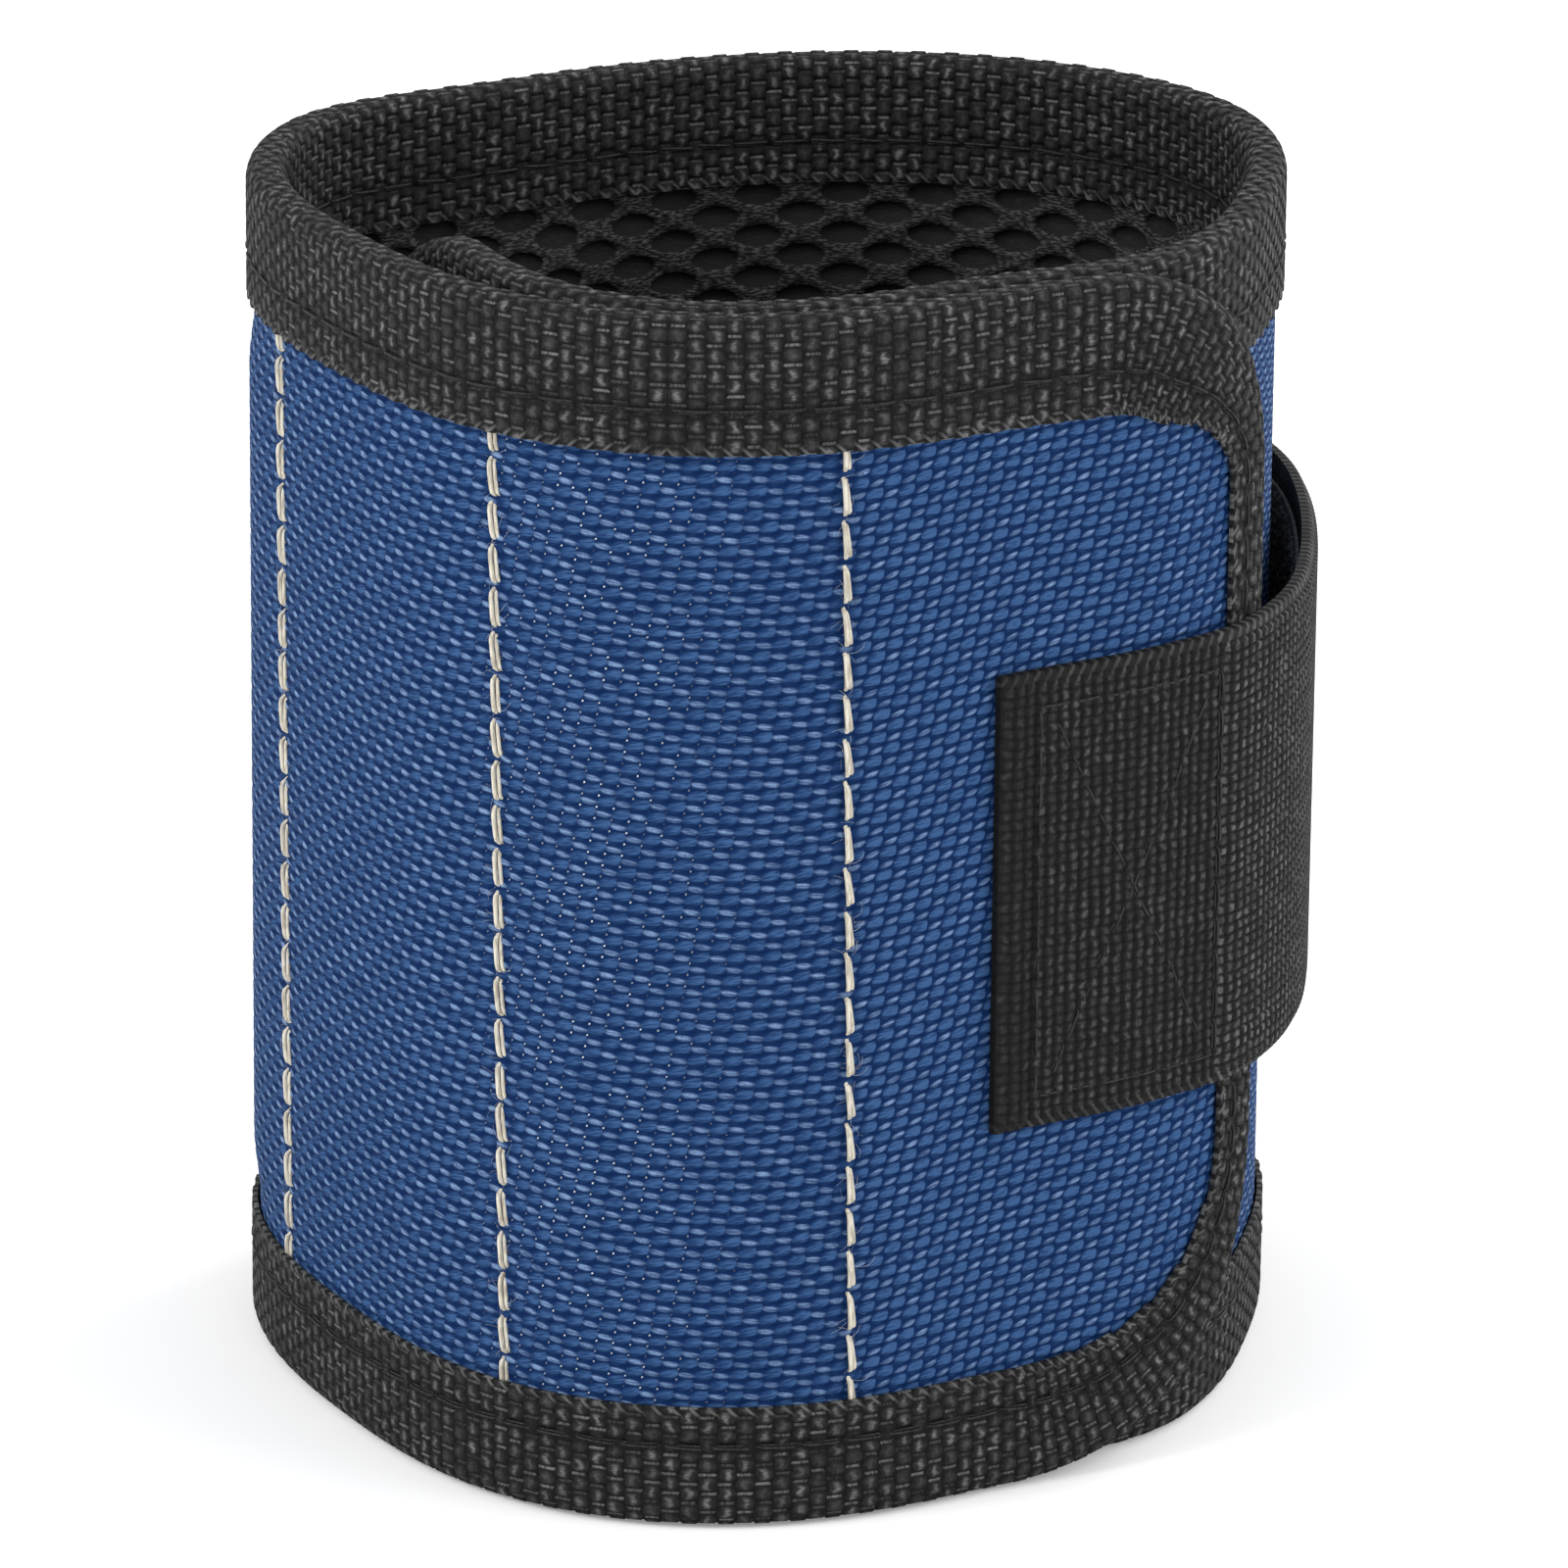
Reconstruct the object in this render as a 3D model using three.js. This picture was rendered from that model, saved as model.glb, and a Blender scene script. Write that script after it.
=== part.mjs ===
// A magnetic wristband, rolled up and closed as it is worn.
//
// One padded strip, cloth outside and spacer mesh inside, is wound a little under one and a half turns.
// Its edge is bound with folded tape, sewn lines across it make pockets, and flat bar magnets sit in the
// pockets that the closing strap leaves free. The strap is sewn to the outer end, the flap. Its soft pile
// grips two hook patches on the far side. The inner end, the tuck, lies loose inside the loop.
// Cloth, lining and tape are divided at the sewn lines where the band bends when it is opened.
import * as THREE from 'three';

// The strip laid flat, in millimetres.
const BAND_HEIGHT = 90;
const CORNER_TOP = 17;
const CORNER_BOTTOM = 24;
const CLOTH = 0.5;
const LINING = 1.2;
const TAPE = 0.45;
const TAPE_LEG_TOP = 10;
const TAPE_LEG_BOTTOM = 9.2;
const TAPE_LEG_END = 5.5;
const TAPE_CREST_FLAT = 1.2;
const CLEARANCE = 0.15;
const SEAM_GAP = 0.3;

// Sections between the lines where the band bends, from the flap inwards, each a row of pockets.
const FLAP_WIDTH = 37.5;
const FRONT_WIDTH = 26;
const FRONT_LEFT_WIDTH = 31;
const POCKET_WIDTH = 29;
const UNDER_WIDTH = 40;
const TUCK_WIDTH = 49;
const SECTIONS = [
  { name: 'flap', pockets: [{ width: FLAP_WIDTH }] },
  { name: 'front', pockets: [{ width: FRONT_WIDTH, magnets: true }] },
  { name: 'front_left', pockets: [{ width: FRONT_LEFT_WIDTH, magnets: true }] },
  { name: 'left', pockets: [{ width: POCKET_WIDTH, magnets: true }] },
  { name: 'back', pockets: [{ width: POCKET_WIDTH, magnets: true }, { width: POCKET_WIDTH, hooks: true }] },
  { name: 'right', pockets: [{ width: POCKET_WIDTH, hooks: true }] },
  { name: 'side', pockets: [{ width: POCKET_WIDTH }] },
  { name: 'under', pockets: [{ width: UNDER_WIDTH }] },
  { name: 'tuck', pockets: [{ width: TUCK_WIDTH }] },
];

// The roll in plan. Angles are in degrees, counted along the strip from the tuck to the flap.
const LOOP_RADIUS = 37.7;
const SWELL_BACK_RIGHT = 3.7;
const SWELL_BACK_LEFT = 1.3;
const SWELL_FRONT = 3.7;
const DIP_BACK = 2.8;
const DIP_LEFT = 1.3;
const DIP_FRONT_RIGHT = 1.8;
const DIP_RIGHT = 2.7;
const LOOP_SWELLS = [
  { angle: 48, by: SWELL_BACK_RIGHT },
  { angle: 125, by: -DIP_BACK },
  { angle: 158, by: SWELL_BACK_LEFT },
  { angle: 207, by: -DIP_LEFT },
  { angle: 257, by: SWELL_FRONT },
  { angle: 308, by: -DIP_FRONT_RIGHT },
  { angle: 348, by: -DIP_RIGHT },
];
const FLAP_END_ANGLE = 693.7;
const LAYER_GAP = 0.25;
const CROSSING_START = 290;
const CROSSING_SPAN = 40;
const CURL = 4;
const CURL_START = 262;
const CURL_SPAN = 50;
const LOOP_CENTRE_X = 0.07;
const LOOP_CENTRE_Y = -0.35;

// Bar magnets and the pockets that they fill.
const MAGNET_WIDTH = 10;
const MAGNET_HEIGHT = 16;
const MAGNET_THICKNESS = 1.2;
const MAGNET_SPACING = 2;
const MAGNET_EDGE = 0.25;
const MAGNET_CORNER = 1.2;
const POCKET_SLOPE = 5;
const POCKET_EASE = 0.5;
const POCKET_FULLNESS = 0.3;
const LINING_RECESS = 1.4;
const LINING_SAG = 1.1;

// The closing strap, its pile and the hook patches.
const STRAP_WIDTH = 34.3;
const STRAP_THICKNESS = 1.3;
const STRAP_SEWN = 25.9;
const STRAP_BEND = 31;
const STRAP_RUN = 28;
const STRAP_TIP = 24;
const STRAP_TIP_CORNER = 7;
const STRAP_DROP = 0.2;
const STRAP_SLOPE = 0.03;
const STRAP_BRIDGE_SPAN = 46;
const STRAP_STEP_UP = 6;
const PILE_THICKNESS = 0.6;
const PILE_MARGIN = 2;
const HOOK_THICKNESS = 0.8;
const HOOK_HEIGHT = 30;
const HOOK_MARGIN = 3;

// How finely curves are divided.
const STEP = 4.2;
const CORNER_STEPS = 8;
const TAPE_END_PARTS = 3;
const ANGLE_STEP = 0.5;

const FULL_TURN = 360;
const degrees = THREE.MathUtils.degToRad;
const smooth = (x) => THREE.MathUtils.smoothstep(x, 0, 1);

// Layers, counted outwards from the sewing line between cloth and lining.
const clothInner = CLEARANCE / 2;
const clothOuter = clothInner + CLOTH;
const tapeOuter = clothOuter + CLEARANCE + TAPE;
const liningOuter = -CLEARANCE / 2;
const liningInner = liningOuter - LINING;
const tapeInner = liningInner - CLEARANCE - TAPE;
const layerPitch = tapeOuter - tapeInner + LAYER_GAP;
const crestHalf = (tapeOuter - tapeInner) / 2;
const crestMiddle = (tapeOuter + tapeInner) / 2;
const fieldInset = crestHalf + CLEARANCE;

const widthOf = (section) => section.pockets.reduce((sum, pocket) => sum + pocket.width, 0);
const bandLength = SECTIONS.reduce((sum, section) => sum + widthOf(section), 0);

// How far the loop swells or flattens at an angle, eased from each named place to the next.
function swellAt(angle) {
  const first = LOOP_SWELLS[0];
  const places = [...LOOP_SWELLS, { angle: first.angle + FULL_TURN, by: first.by }];
  const turned = THREE.MathUtils.euclideanModulo(angle - first.angle, FULL_TURN) + first.angle;
  const next = places.findIndex((place, i) => i > 0 && place.angle >= turned);
  const [a, b] = [places[next - 1], places[next]];
  const share = (turned - a.angle) / (b.angle - a.angle);
  return a.by + ((b.by - a.by) * (1 - Math.cos(Math.PI * share))) / 2;
}

// Radius of the sewing line: a soft loop, with the flap lifted over the tuck and the tuck's end curling in.
function bandRadius(angle) {
  const lift = layerPitch * smooth((angle - FULL_TURN - CROSSING_START) / CROSSING_SPAN);
  const tuck = layerPitch * (1 - smooth((angle - CROSSING_START) / CROSSING_SPAN));
  const curl = CURL * smooth((CURL_START - angle) / CURL_SPAN);
  return LOOP_RADIUS + swellAt(angle) + lift - tuck - curl;
}

// A curve in plan, given by its radius at each angle and walked by distance from its start.
function makeTrack(radiusAt, startAngle, direction, length) {
  const pointAt = (angle) => {
    const radius = radiusAt(angle);
    return new THREE.Vector2(radius * Math.cos(degrees(angle)), radius * Math.sin(degrees(angle)));
  };
  const walked = [0];
  const angles = [startAngle];
  let last = pointAt(startAngle);
  while (walked.at(-1) < length + STEP) {
    const angle = angles.at(-1) + direction * ANGLE_STEP;
    const next = pointAt(angle);
    walked.push(walked.at(-1) + next.distanceTo(last));
    angles.push(angle);
    last = next;
  }
  const angleAt = (distance) => {
    const after = Math.max(1, walked.findIndex((value) => value >= distance));
    const share = (distance - walked[after - 1]) / (walked[after] - walked[after - 1]);
    return angles[after - 1] + share * (angles[after] - angles[after - 1]);
  };
  const normalAt = (angle) => {
    const along = pointAt(angle + ANGLE_STEP).sub(pointAt(angle - ANGLE_STEP)).normalize();
    return new THREE.Vector2(along.y, -along.x);
  };
  // The point at a distance along the track, an offset outwards and a height.
  const at = (distance, offset, z) => {
    const angle = angleAt(distance);
    const point = pointAt(angle).addScaledVector(normalAt(angle), offset);
    return new THREE.Vector3(point.x - LOOP_CENTRE_X, point.y - LOOP_CENTRE_Y, z);
  };
  return { at, angleAt, facing: (distance) => normalAt(angleAt(distance)).angle() };
}

// Distances from one to another, no further apart than a step.
function spaced(from, to, step = STEP) {
  const count = Math.max(1, Math.ceil(Math.abs(to - from) / step));
  return Array.from({ length: count + 1 }, (_, i) => from + ((to - from) * i) / count);
}

// Skins a row of matching closed outlines into one solid and closes both ends.
// Each outline's point has its place in space and its place in the outline's own flat plane.
function skin(outlines) {
  const count = outlines[0].length;
  const positions = outlines.flat().flatMap((point) => point.place.toArray());
  const triangles = [];
  for (let row = 0; row + 1 < outlines.length; row += 1) {
    for (let i = 0; i < count; i += 1) {
      const a = row * count + i;
      const b = row * count + ((i + 1) % count);
      triangles.push([a, b, b + count], [a, b + count, a + count]);
    }
  }
  const flat = outlines[0].map((point) => point.flat);
  const turned = THREE.ShapeUtils.isClockWise(flat);
  const end = (outlines.length - 1) * count;
  for (const [a, b, c] of THREE.ShapeUtils.triangulateShape(flat.slice(), [])) {
    triangles.push(turned ? [a, b, c] : [a, c, b]);
  }
  const lastFlat = outlines.at(-1).map((point) => point.flat);
  for (const [a, b, c] of THREE.ShapeUtils.triangulateShape(lastFlat.slice(), [])) {
    triangles.push(turned ? [end + a, end + c, end + b] : [end + a, end + b, end + c]);
  }
  const corner = (index) => new THREE.Vector3().fromArray(positions, index * 3);
  const volume = triangles.reduce(
    (sum, [a, b, c]) => sum + corner(a).dot(corner(b).cross(corner(c))) / 6, 0);
  const outward = volume > 0 ? triangles : triangles.map(([a, b, c]) => [a, c, b]);
  const geometry = new THREE.BufferGeometry();
  geometry.setAttribute('position', new THREE.Float32BufferAttribute(positions, 3));
  geometry.setIndex(outward.flat());
  geometry.computeVertexNormals();
  return geometry;
}

const outlinePoint = (track, distance, offset, z) => ({
  place: track.at(distance, offset, z),
  flat: new THREE.Vector2(offset, z),
});

// A layer between two faces that follow a track: up its outer face and down its inner one.
function layer(track, distances, levelsAt, outerAt, innerAt) {
  return skin(distances.map((distance) => {
    const levels = levelsAt(distance);
    const up = levels.map((z) => outlinePoint(track, distance, outerAt(distance, z), z));
    const down = levels.map((z) => outlinePoint(track, distance, innerAt(distance, z), z));
    return [...up, ...down.reverse()];
  }));
}

const wristband = new THREE.Group();

function addPiece(name, geometry, material) {
  const mesh = new THREE.Mesh(geometry, material.clone());
  mesh.name = name;
  wristband.add(mesh);
  return mesh;
}

const material = (color, roughness, metalness = 0) =>
  new THREE.MeshStandardMaterial({ color, roughness, metalness });
const CLOTH_FINISH = material(0x3b5a86, 0.75);
const LINING_FINISH = material(0x161618, 0.9);
const TAPE_FINISH = material(0x303030, 0.7);
const MAGNET_FINISH = material(0xc9c9cc, 0.25, 1);
const STRAP_FINISH = material(0x2b2b2b, 0.8);
const PILE_FINISH = material(0x141415, 1);
const HOOK_FINISH = material(0x18181a, 0.6);

const band = makeTrack(bandRadius, FLAP_END_ANGLE, -1, bandLength);

// Lowest and highest point of the strip at a distance along it, set in from its edge.
function heightRange(distance, inset) {
  const fromEnd = Math.max(0, Math.min(distance, bandLength - distance) - inset);
  const cut = (corner) => {
    const radius = corner - inset;
    return fromEnd < radius ? radius - Math.sqrt(radius ** 2 - (radius - fromEnd) ** 2) : 0;
  };
  return [inset + cut(CORNER_BOTTOM), BAND_HEIGHT - inset - cut(CORNER_TOP)];
}

// Rows and columns of a magnet pocket's swelling, with a level top over the magnets.
const pocketLow = TAPE_LEG_BOTTOM + POCKET_EASE;
const pocketHigh = BAND_HEIGHT - TAPE_LEG_TOP - POCKET_EASE;
const pocketMiddle = (pocketLow + pocketHigh) / 2;
const levelHeight = pocketHigh - pocketLow - 2 * (POCKET_SLOPE + POCKET_EASE);
const magnetRows = Math.floor((levelHeight + MAGNET_SPACING) / (MAGNET_HEIGHT + MAGNET_SPACING));
const levelHalfWidth = MAGNET_WIDTH / 2 + POCKET_EASE;

// How far the band bows outwards across a flat magnet, less than nothing where it bows in.
function bowAcross(middle) {
  const left = band.at(middle - levelHalfWidth, 0, 0);
  const right = band.at(middle + levelHalfWidth, 0, 0);
  const chord = left.add(right).multiplyScalar(0.5);
  const out = band.at(middle, 1, 0).sub(band.at(middle, 0, 0));
  return band.at(middle, 0, 0).sub(chord).dot(out);
}

// A pocket's place along the strip, the height of its magnets' seat and how far its cloth swells.
function makePocket(start, { width, magnets, hooks }) {
  const middle = start + width / 2;
  const bow = bowAcross(middle);
  const seat = liningOuter - LINING_RECESS + CLEARANCE + Math.max(0, -bow);
  const raised = seat + MAGNET_THICKNESS + Math.max(0, bow) + CLEARANCE - clothInner;
  const swell = Math.max(POCKET_FULLNESS, raised);
  return { start, end: start + width, middle, magnets, hooks, seat, swell };
}

// Share of a pocket's full swelling at a point: none at its sewn edges, all of it over the magnets.
function swelling(pocket, distance, z) {
  const half = (pocket.end - pocket.start) / 2;
  const across = (half - Math.abs(distance - pocket.middle)) / (half - levelHalfWidth);
  const up = Math.min(z - pocketLow, pocketHigh - z) / POCKET_SLOPE;
  return smooth(across) * smooth(up);
}

function pocketDistances(pocket, from, to) {
  const half = (pocket.end - pocket.start) / 2;
  const slope = half - levelHalfWidth;
  const marks = [slope / 3, slope * 2 / 3, slope];
  const inner = marks.flatMap((mark) => [pocket.start + mark, pocket.end - mark]);
  return [from, ...inner, pocket.middle, to].sort((a, b) => a - b);
}

function pocketLevels(low, high) {
  const slopes = [0, POCKET_SLOPE / 2, POCKET_SLOPE];
  return [
    low,
    ...slopes.map((rise) => pocketLow + rise),
    ...slopes.map((rise) => pocketHigh - rise).reverse(),
    high,
  ];
}

// Stations along a section, closer together where a rounded corner cuts its height.
function sectionDistances(section) {
  const from = section.first ? fieldInset : section.start + SEAM_GAP / 2;
  const to = section.last ? bandLength - fieldInset : section.end - SEAM_GAP / 2;
  if (section.pockets.some((pocket) => pocket.magnets)) {
    return [...new Set(section.pockets.flatMap((pocket) => pocketDistances(
      pocket, Math.max(from, pocket.start), Math.min(to, pocket.end))))];
  }
  if (!section.first && !section.last) {
    return spaced(from, to);
  }
  const radius = CORNER_BOTTOM - fieldInset;
  const corner = Array.from({ length: CORNER_STEPS + 1 },
    (_, i) => fieldInset + radius * (1 - Math.cos((Math.PI / 2) * (i / CORNER_STEPS))));
  return section.first
    ? [...corner, ...spaced(corner.at(-1), to).slice(1)]
    : [...spaced(from, bandLength - corner.at(-1)), ...corner.reverse().slice(1).map((d) => bandLength - d)];
}

// Cloth outside and spacer mesh inside, swelling apart round the magnets.
function addLayers(section) {
  const distances = sectionDistances(section);
  const magnetPockets = section.pockets.filter((pocket) => pocket.magnets);
  const share = (distance, z, of) => magnetPockets.reduce(
    (sum, pocket) => (distance > pocket.start && distance < pocket.end
      ? sum + of(pocket) * swelling(pocket, distance, z) : sum), 0);
  const levelsAt = (distance) => {
    const [low, high] = heightRange(distance, fieldInset);
    return magnetPockets.length ? pocketLevels(low, high) : [low, high];
  };
  const swell = (distance, z) => share(distance, z, (pocket) => pocket.swell);
  const recess = (distance, z) => share(distance, z, () => LINING_RECESS);
  const sag = (distance, z) => share(distance, z, () => LINING_SAG);
  addPiece(`cloth_${section.name}`, layer(band, distances, levelsAt,
    (d, z) => clothOuter + swell(d, z), (d, z) => clothInner + swell(d, z)), CLOTH_FINISH);
  addPiece(`lining_${section.name}`, layer(band, distances, levelsAt,
    (d, z) => liningOuter - recess(d, z), (d, z) => liningInner - sag(d, z)), LINING_FINISH);
}

// Folded tape in section, as [depth from the strip's edge, offset]: two legs and a flattened crest.
function tapeSection(leg, legParts) {
  const half = TAPE_CREST_FLAT / 2;
  const shoulder = Math.SQRT1_2;
  const side = (wall, sign) => {
    const reach = crestHalf - wall - half;
    const rise = crestHalf - wall;
    const offset = crestMiddle + sign * (half + reach);
    const legDepths = Array.from({ length: legParts }, (_, i) => leg - ((leg - crestHalf) * i) / legParts);
    return [
      ...legDepths.map((depth) => [depth, offset]),
      [crestHalf, offset],
      [wall + rise * (1 - shoulder), crestMiddle + sign * (half + reach * shoulder)],
      [wall, crestMiddle + sign * half],
    ];
  };
  const outside = [...side(0, 1), ...side(0, -1).reverse()];
  const inside = [...side(TAPE, 1), ...side(TAPE, -1).reverse()];
  return [...outside, ...inside.reverse()];
}

// Sweeps the folded tape along stations on the strip's edge, each with its inward direction.
function sweepTape(stations, legParts) {
  return skin(stations.map(({ distance, z, inward, leg }) => tapeSection(leg, legParts).map(
    ([depth, offset]) => ({
      place: band.at(distance + depth * inward.x, offset, z + depth * inward.y),
      flat: new THREE.Vector2(offset, depth),
    }))));
}

const topStation = (distance) => ({
  distance, z: BAND_HEIGHT, inward: new THREE.Vector2(0, -1), leg: TAPE_LEG_TOP,
});
const bottomStation = (distance) => ({
  distance, z: 0, inward: new THREE.Vector2(0, 1), leg: TAPE_LEG_BOTTOM,
});

// Tape round one end of the strip: along the top, round both corners and back along the bottom.
// It is folded over less of the strip down the end itself.
function endStations(section) {
  const toBand = section.first ? (d) => d : (d) => bandLength - d;
  const way = section.first ? 1 : -1;
  const reach = section.end - section.start - SEAM_GAP / 2;
  const turn = (radius, middleZ, from, legs) => Array.from({ length: CORNER_STEPS + 1 }, (_, i) => {
    const angle = from + (Math.PI / 2) * (i / CORNER_STEPS);
    const out = new THREE.Vector2(Math.cos(angle), Math.sin(angle));
    return {
      distance: toBand(radius + radius * out.x),
      z: middleZ + radius * out.y,
      inward: new THREE.Vector2(-out.x * way, -out.y),
      leg: THREE.MathUtils.lerp(legs[0], legs[1], smooth(i / CORNER_STEPS)),
    };
  });
  return [
    ...spaced(reach, CORNER_TOP).slice(0, -1).map((d) => topStation(toBand(d))),
    ...turn(CORNER_TOP, BAND_HEIGHT - CORNER_TOP, Math.PI / 2, [TAPE_LEG_TOP, TAPE_LEG_END]),
    ...turn(CORNER_BOTTOM, CORNER_BOTTOM, Math.PI, [TAPE_LEG_END, TAPE_LEG_BOTTOM]),
    ...spaced(CORNER_BOTTOM, reach).slice(1).map((d) => bottomStation(toBand(d))),
  ];
}

function addBinding(section) {
  if (section.first || section.last) {
    addPiece(`binding_${section.name}_end`, sweepTape(endStations(section), TAPE_END_PARTS), TAPE_FINISH);
    return;
  }
  const distances = spaced(section.start + SEAM_GAP / 2, section.end - SEAM_GAP / 2);
  addPiece(`binding_top_${section.name}`, sweepTape(distances.map(topStation), 1), TAPE_FINISH);
  addPiece(`binding_bottom_${section.name}`, sweepTape(distances.map(bottomStation), 1), TAPE_FINISH);
}

// A flat bar with rounded corners and softened edges, its thickness along Z.
function magnetGeometry() {
  const w = MAGNET_WIDTH / 2 - MAGNET_EDGE;
  const h = MAGNET_HEIGHT / 2 - MAGNET_EDGE;
  const r = MAGNET_CORNER;
  const shape = new THREE.Shape();
  shape.absarc(w - r, h - r, r, 0, Math.PI / 2);
  shape.absarc(r - w, h - r, r, Math.PI / 2, Math.PI);
  shape.absarc(r - w, r - h, r, Math.PI, Math.PI * 1.5);
  shape.absarc(w - r, r - h, r, Math.PI * 1.5, Math.PI * 2);
  const geometry = new THREE.ExtrudeGeometry(shape, {
    depth: MAGNET_THICKNESS - 2 * MAGNET_EDGE,
    bevelThickness: MAGNET_EDGE,
    bevelSize: MAGNET_EDGE,
    bevelSegments: 1,
    curveSegments: 2,
  });
  return geometry.translate(0, 0, MAGNET_EDGE);
}

// A column of magnets in one pocket, each lying on the hollow of the lining.
function addMagnets(section) {
  for (const pocket of section.pockets.filter(({ magnets }) => magnets)) {
    const pitch = MAGNET_HEIGHT + MAGNET_SPACING;
    for (let row = 0; row < magnetRows; row += 1) {
      const z = pocketMiddle + (row - (magnetRows - 1) / 2) * pitch;
      const mesh = addPiece(`magnet_${section.name}_${row + 1}`, magnetGeometry(), MAGNET_FINISH);
      mesh.position.copy(band.at(pocket.middle, pocket.seat, z));
      mesh.rotation.set(Math.PI / 2, band.facing(pocket.middle) + Math.PI / 2, 0, 'XYZ');
    }
  }
}

// Hook patches sewn flat on the cloth where the strap lands.
function addHooks(section) {
  for (const pocket of section.pockets.filter(({ hooks }) => hooks)) {
    const levels = [(BAND_HEIGHT - HOOK_HEIGHT) / 2, (BAND_HEIGHT + HOOK_HEIGHT) / 2];
    const seat = clothOuter + CLEARANCE;
    addPiece(`hook_patch_${section.name}`, layer(band,
      spaced(pocket.start + HOOK_MARGIN, pocket.end - HOOK_MARGIN), () => levels,
      () => seat + HOOK_THICKNESS, () => seat), HOOK_FINISH);
  }
}

const hinges = {};
let start = 0;
for (const [index, { name, pockets }] of SECTIONS.entries()) {
  const section = { name, start, end: start, first: index === 0, last: index === SECTIONS.length - 1 };
  section.pockets = pockets.map((pocket) => {
    const made = makePocket(section.end, pocket);
    section.end = made.end;
    return made;
  });
  addLayers(section);
  addBinding(section);
  addMagnets(section);
  addHooks(section);
  start = section.end;
  if (!section.last) {
    hinges[`${name}_to_${SECTIONS[index + 1].name}`] = band.at(start, tapeOuter, 0);
  }
}

// The strap's inner face: flat on the flap, up over its bound end, then down to the hook patches.
const strapLanding = clothOuter + HOOK_THICKNESS + PILE_THICKNESS + 3 * CLEARANCE;
const strapDescent = layerPitch + tapeOuter + CLEARANCE - strapLanding;
const stepUpFrom = band.angleAt(TAPE_LEG_END + STRAP_STEP_UP);
const stepUpTo = band.angleAt(TAPE_LEG_END);
function strapRadius(angle) {
  const stepUp = smooth((angle - stepUpFrom) / (stepUpTo - stepUpFrom));
  const seat = clothOuter + CLEARANCE + (tapeOuter - clothOuter) * stepUp;
  return bandRadius(angle) + seat - strapDescent * smooth((angle - FLAP_END_ANGLE) / STRAP_BRIDGE_SPAN);
}

const strapLength = STRAP_SEWN + STRAP_BEND + STRAP_RUN + STRAP_TIP;
const strap = makeTrack(strapRadius, band.angleAt(STRAP_SEWN), 1, strapLength);

function strapLevels(distance, inset) {
  const middle = BAND_HEIGHT / 2 - STRAP_DROP + STRAP_SLOPE * distance;
  const fromTip = Math.max(0, strapLength - distance);
  const radius = STRAP_TIP_CORNER;
  const cut = fromTip < radius ? radius - Math.sqrt(radius ** 2 - (radius - fromTip) ** 2) : 0;
  const half = STRAP_WIDTH / 2 - inset - cut;
  return [middle - half, middle + half];
}

function strapDistances(from, to) {
  if (to < strapLength) {
    return spaced(from, to);
  }
  const tip = Array.from({ length: CORNER_STEPS + 1 },
    (_, i) => to - STRAP_TIP_CORNER * (1 - Math.sin((Math.PI / 2) * (i / CORNER_STEPS))));
  return [...spaced(from, tip[0]), ...tip.slice(1)];
}

// Webbing of one stretch of the strap and, where it is free of the flap, the pile sewn inside it.
function addStrap(name, from, to, hasPile) {
  const last = to >= strapLength;
  const end = last ? strapLength : to - SEAM_GAP / 2;
  const begin = from > 0 ? from + SEAM_GAP / 2 : 0;
  addPiece(`strap_${name}`, layer(strap, strapDistances(begin, end), (d) => strapLevels(d, 0),
    () => STRAP_THICKNESS, () => 0), STRAP_FINISH);
  if (hasPile) {
    addPiece(`strap_pile_${name}`, layer(strap,
      spaced(begin + PILE_MARGIN, last ? end - PILE_MARGIN - STRAP_TIP_CORNER : end - SEAM_GAP),
      (d) => strapLevels(d, PILE_MARGIN), () => -CLEARANCE, () => -CLEARANCE - PILE_THICKNESS), PILE_FINISH);
  }
  if (!last) {
    hinges[`strap_after_${name}`] = strap.at(to, STRAP_THICKNESS, 0);
  }
}

const strapBendEnd = STRAP_SEWN + STRAP_BEND;
const strapRunEnd = strapBendEnd + STRAP_RUN;
addStrap('base', 0, STRAP_SEWN, false);
addStrap('bend', STRAP_SEWN, strapBendEnd, true);
addStrap('run', strapBendEnd, strapRunEnd, true);
addStrap('tip', strapRunEnd, strapLength, true);

// Where the upright hinge lines stand in plan, for whoever animates the band.
wristband.userData.hinges = hinges;

export default wristband;
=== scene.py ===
# %% [markdown]
# # A magnetic wristband for holding screws
#
# The object is one long strip of blue cloth, bound with black tape and rolled once round the wrist.
# Flat magnets sit in sewn pockets between the cloth and a black spacer mesh, and a webbing strap closes it.
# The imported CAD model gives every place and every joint, so it is loaded first and never moved.
# Everything soft is then made again as woven layers that lie exactly where the CAD solids lie.

# %% Load the frame
import math

import bpy
import numpy as np
from mathutils import Matrix, Vector


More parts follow.
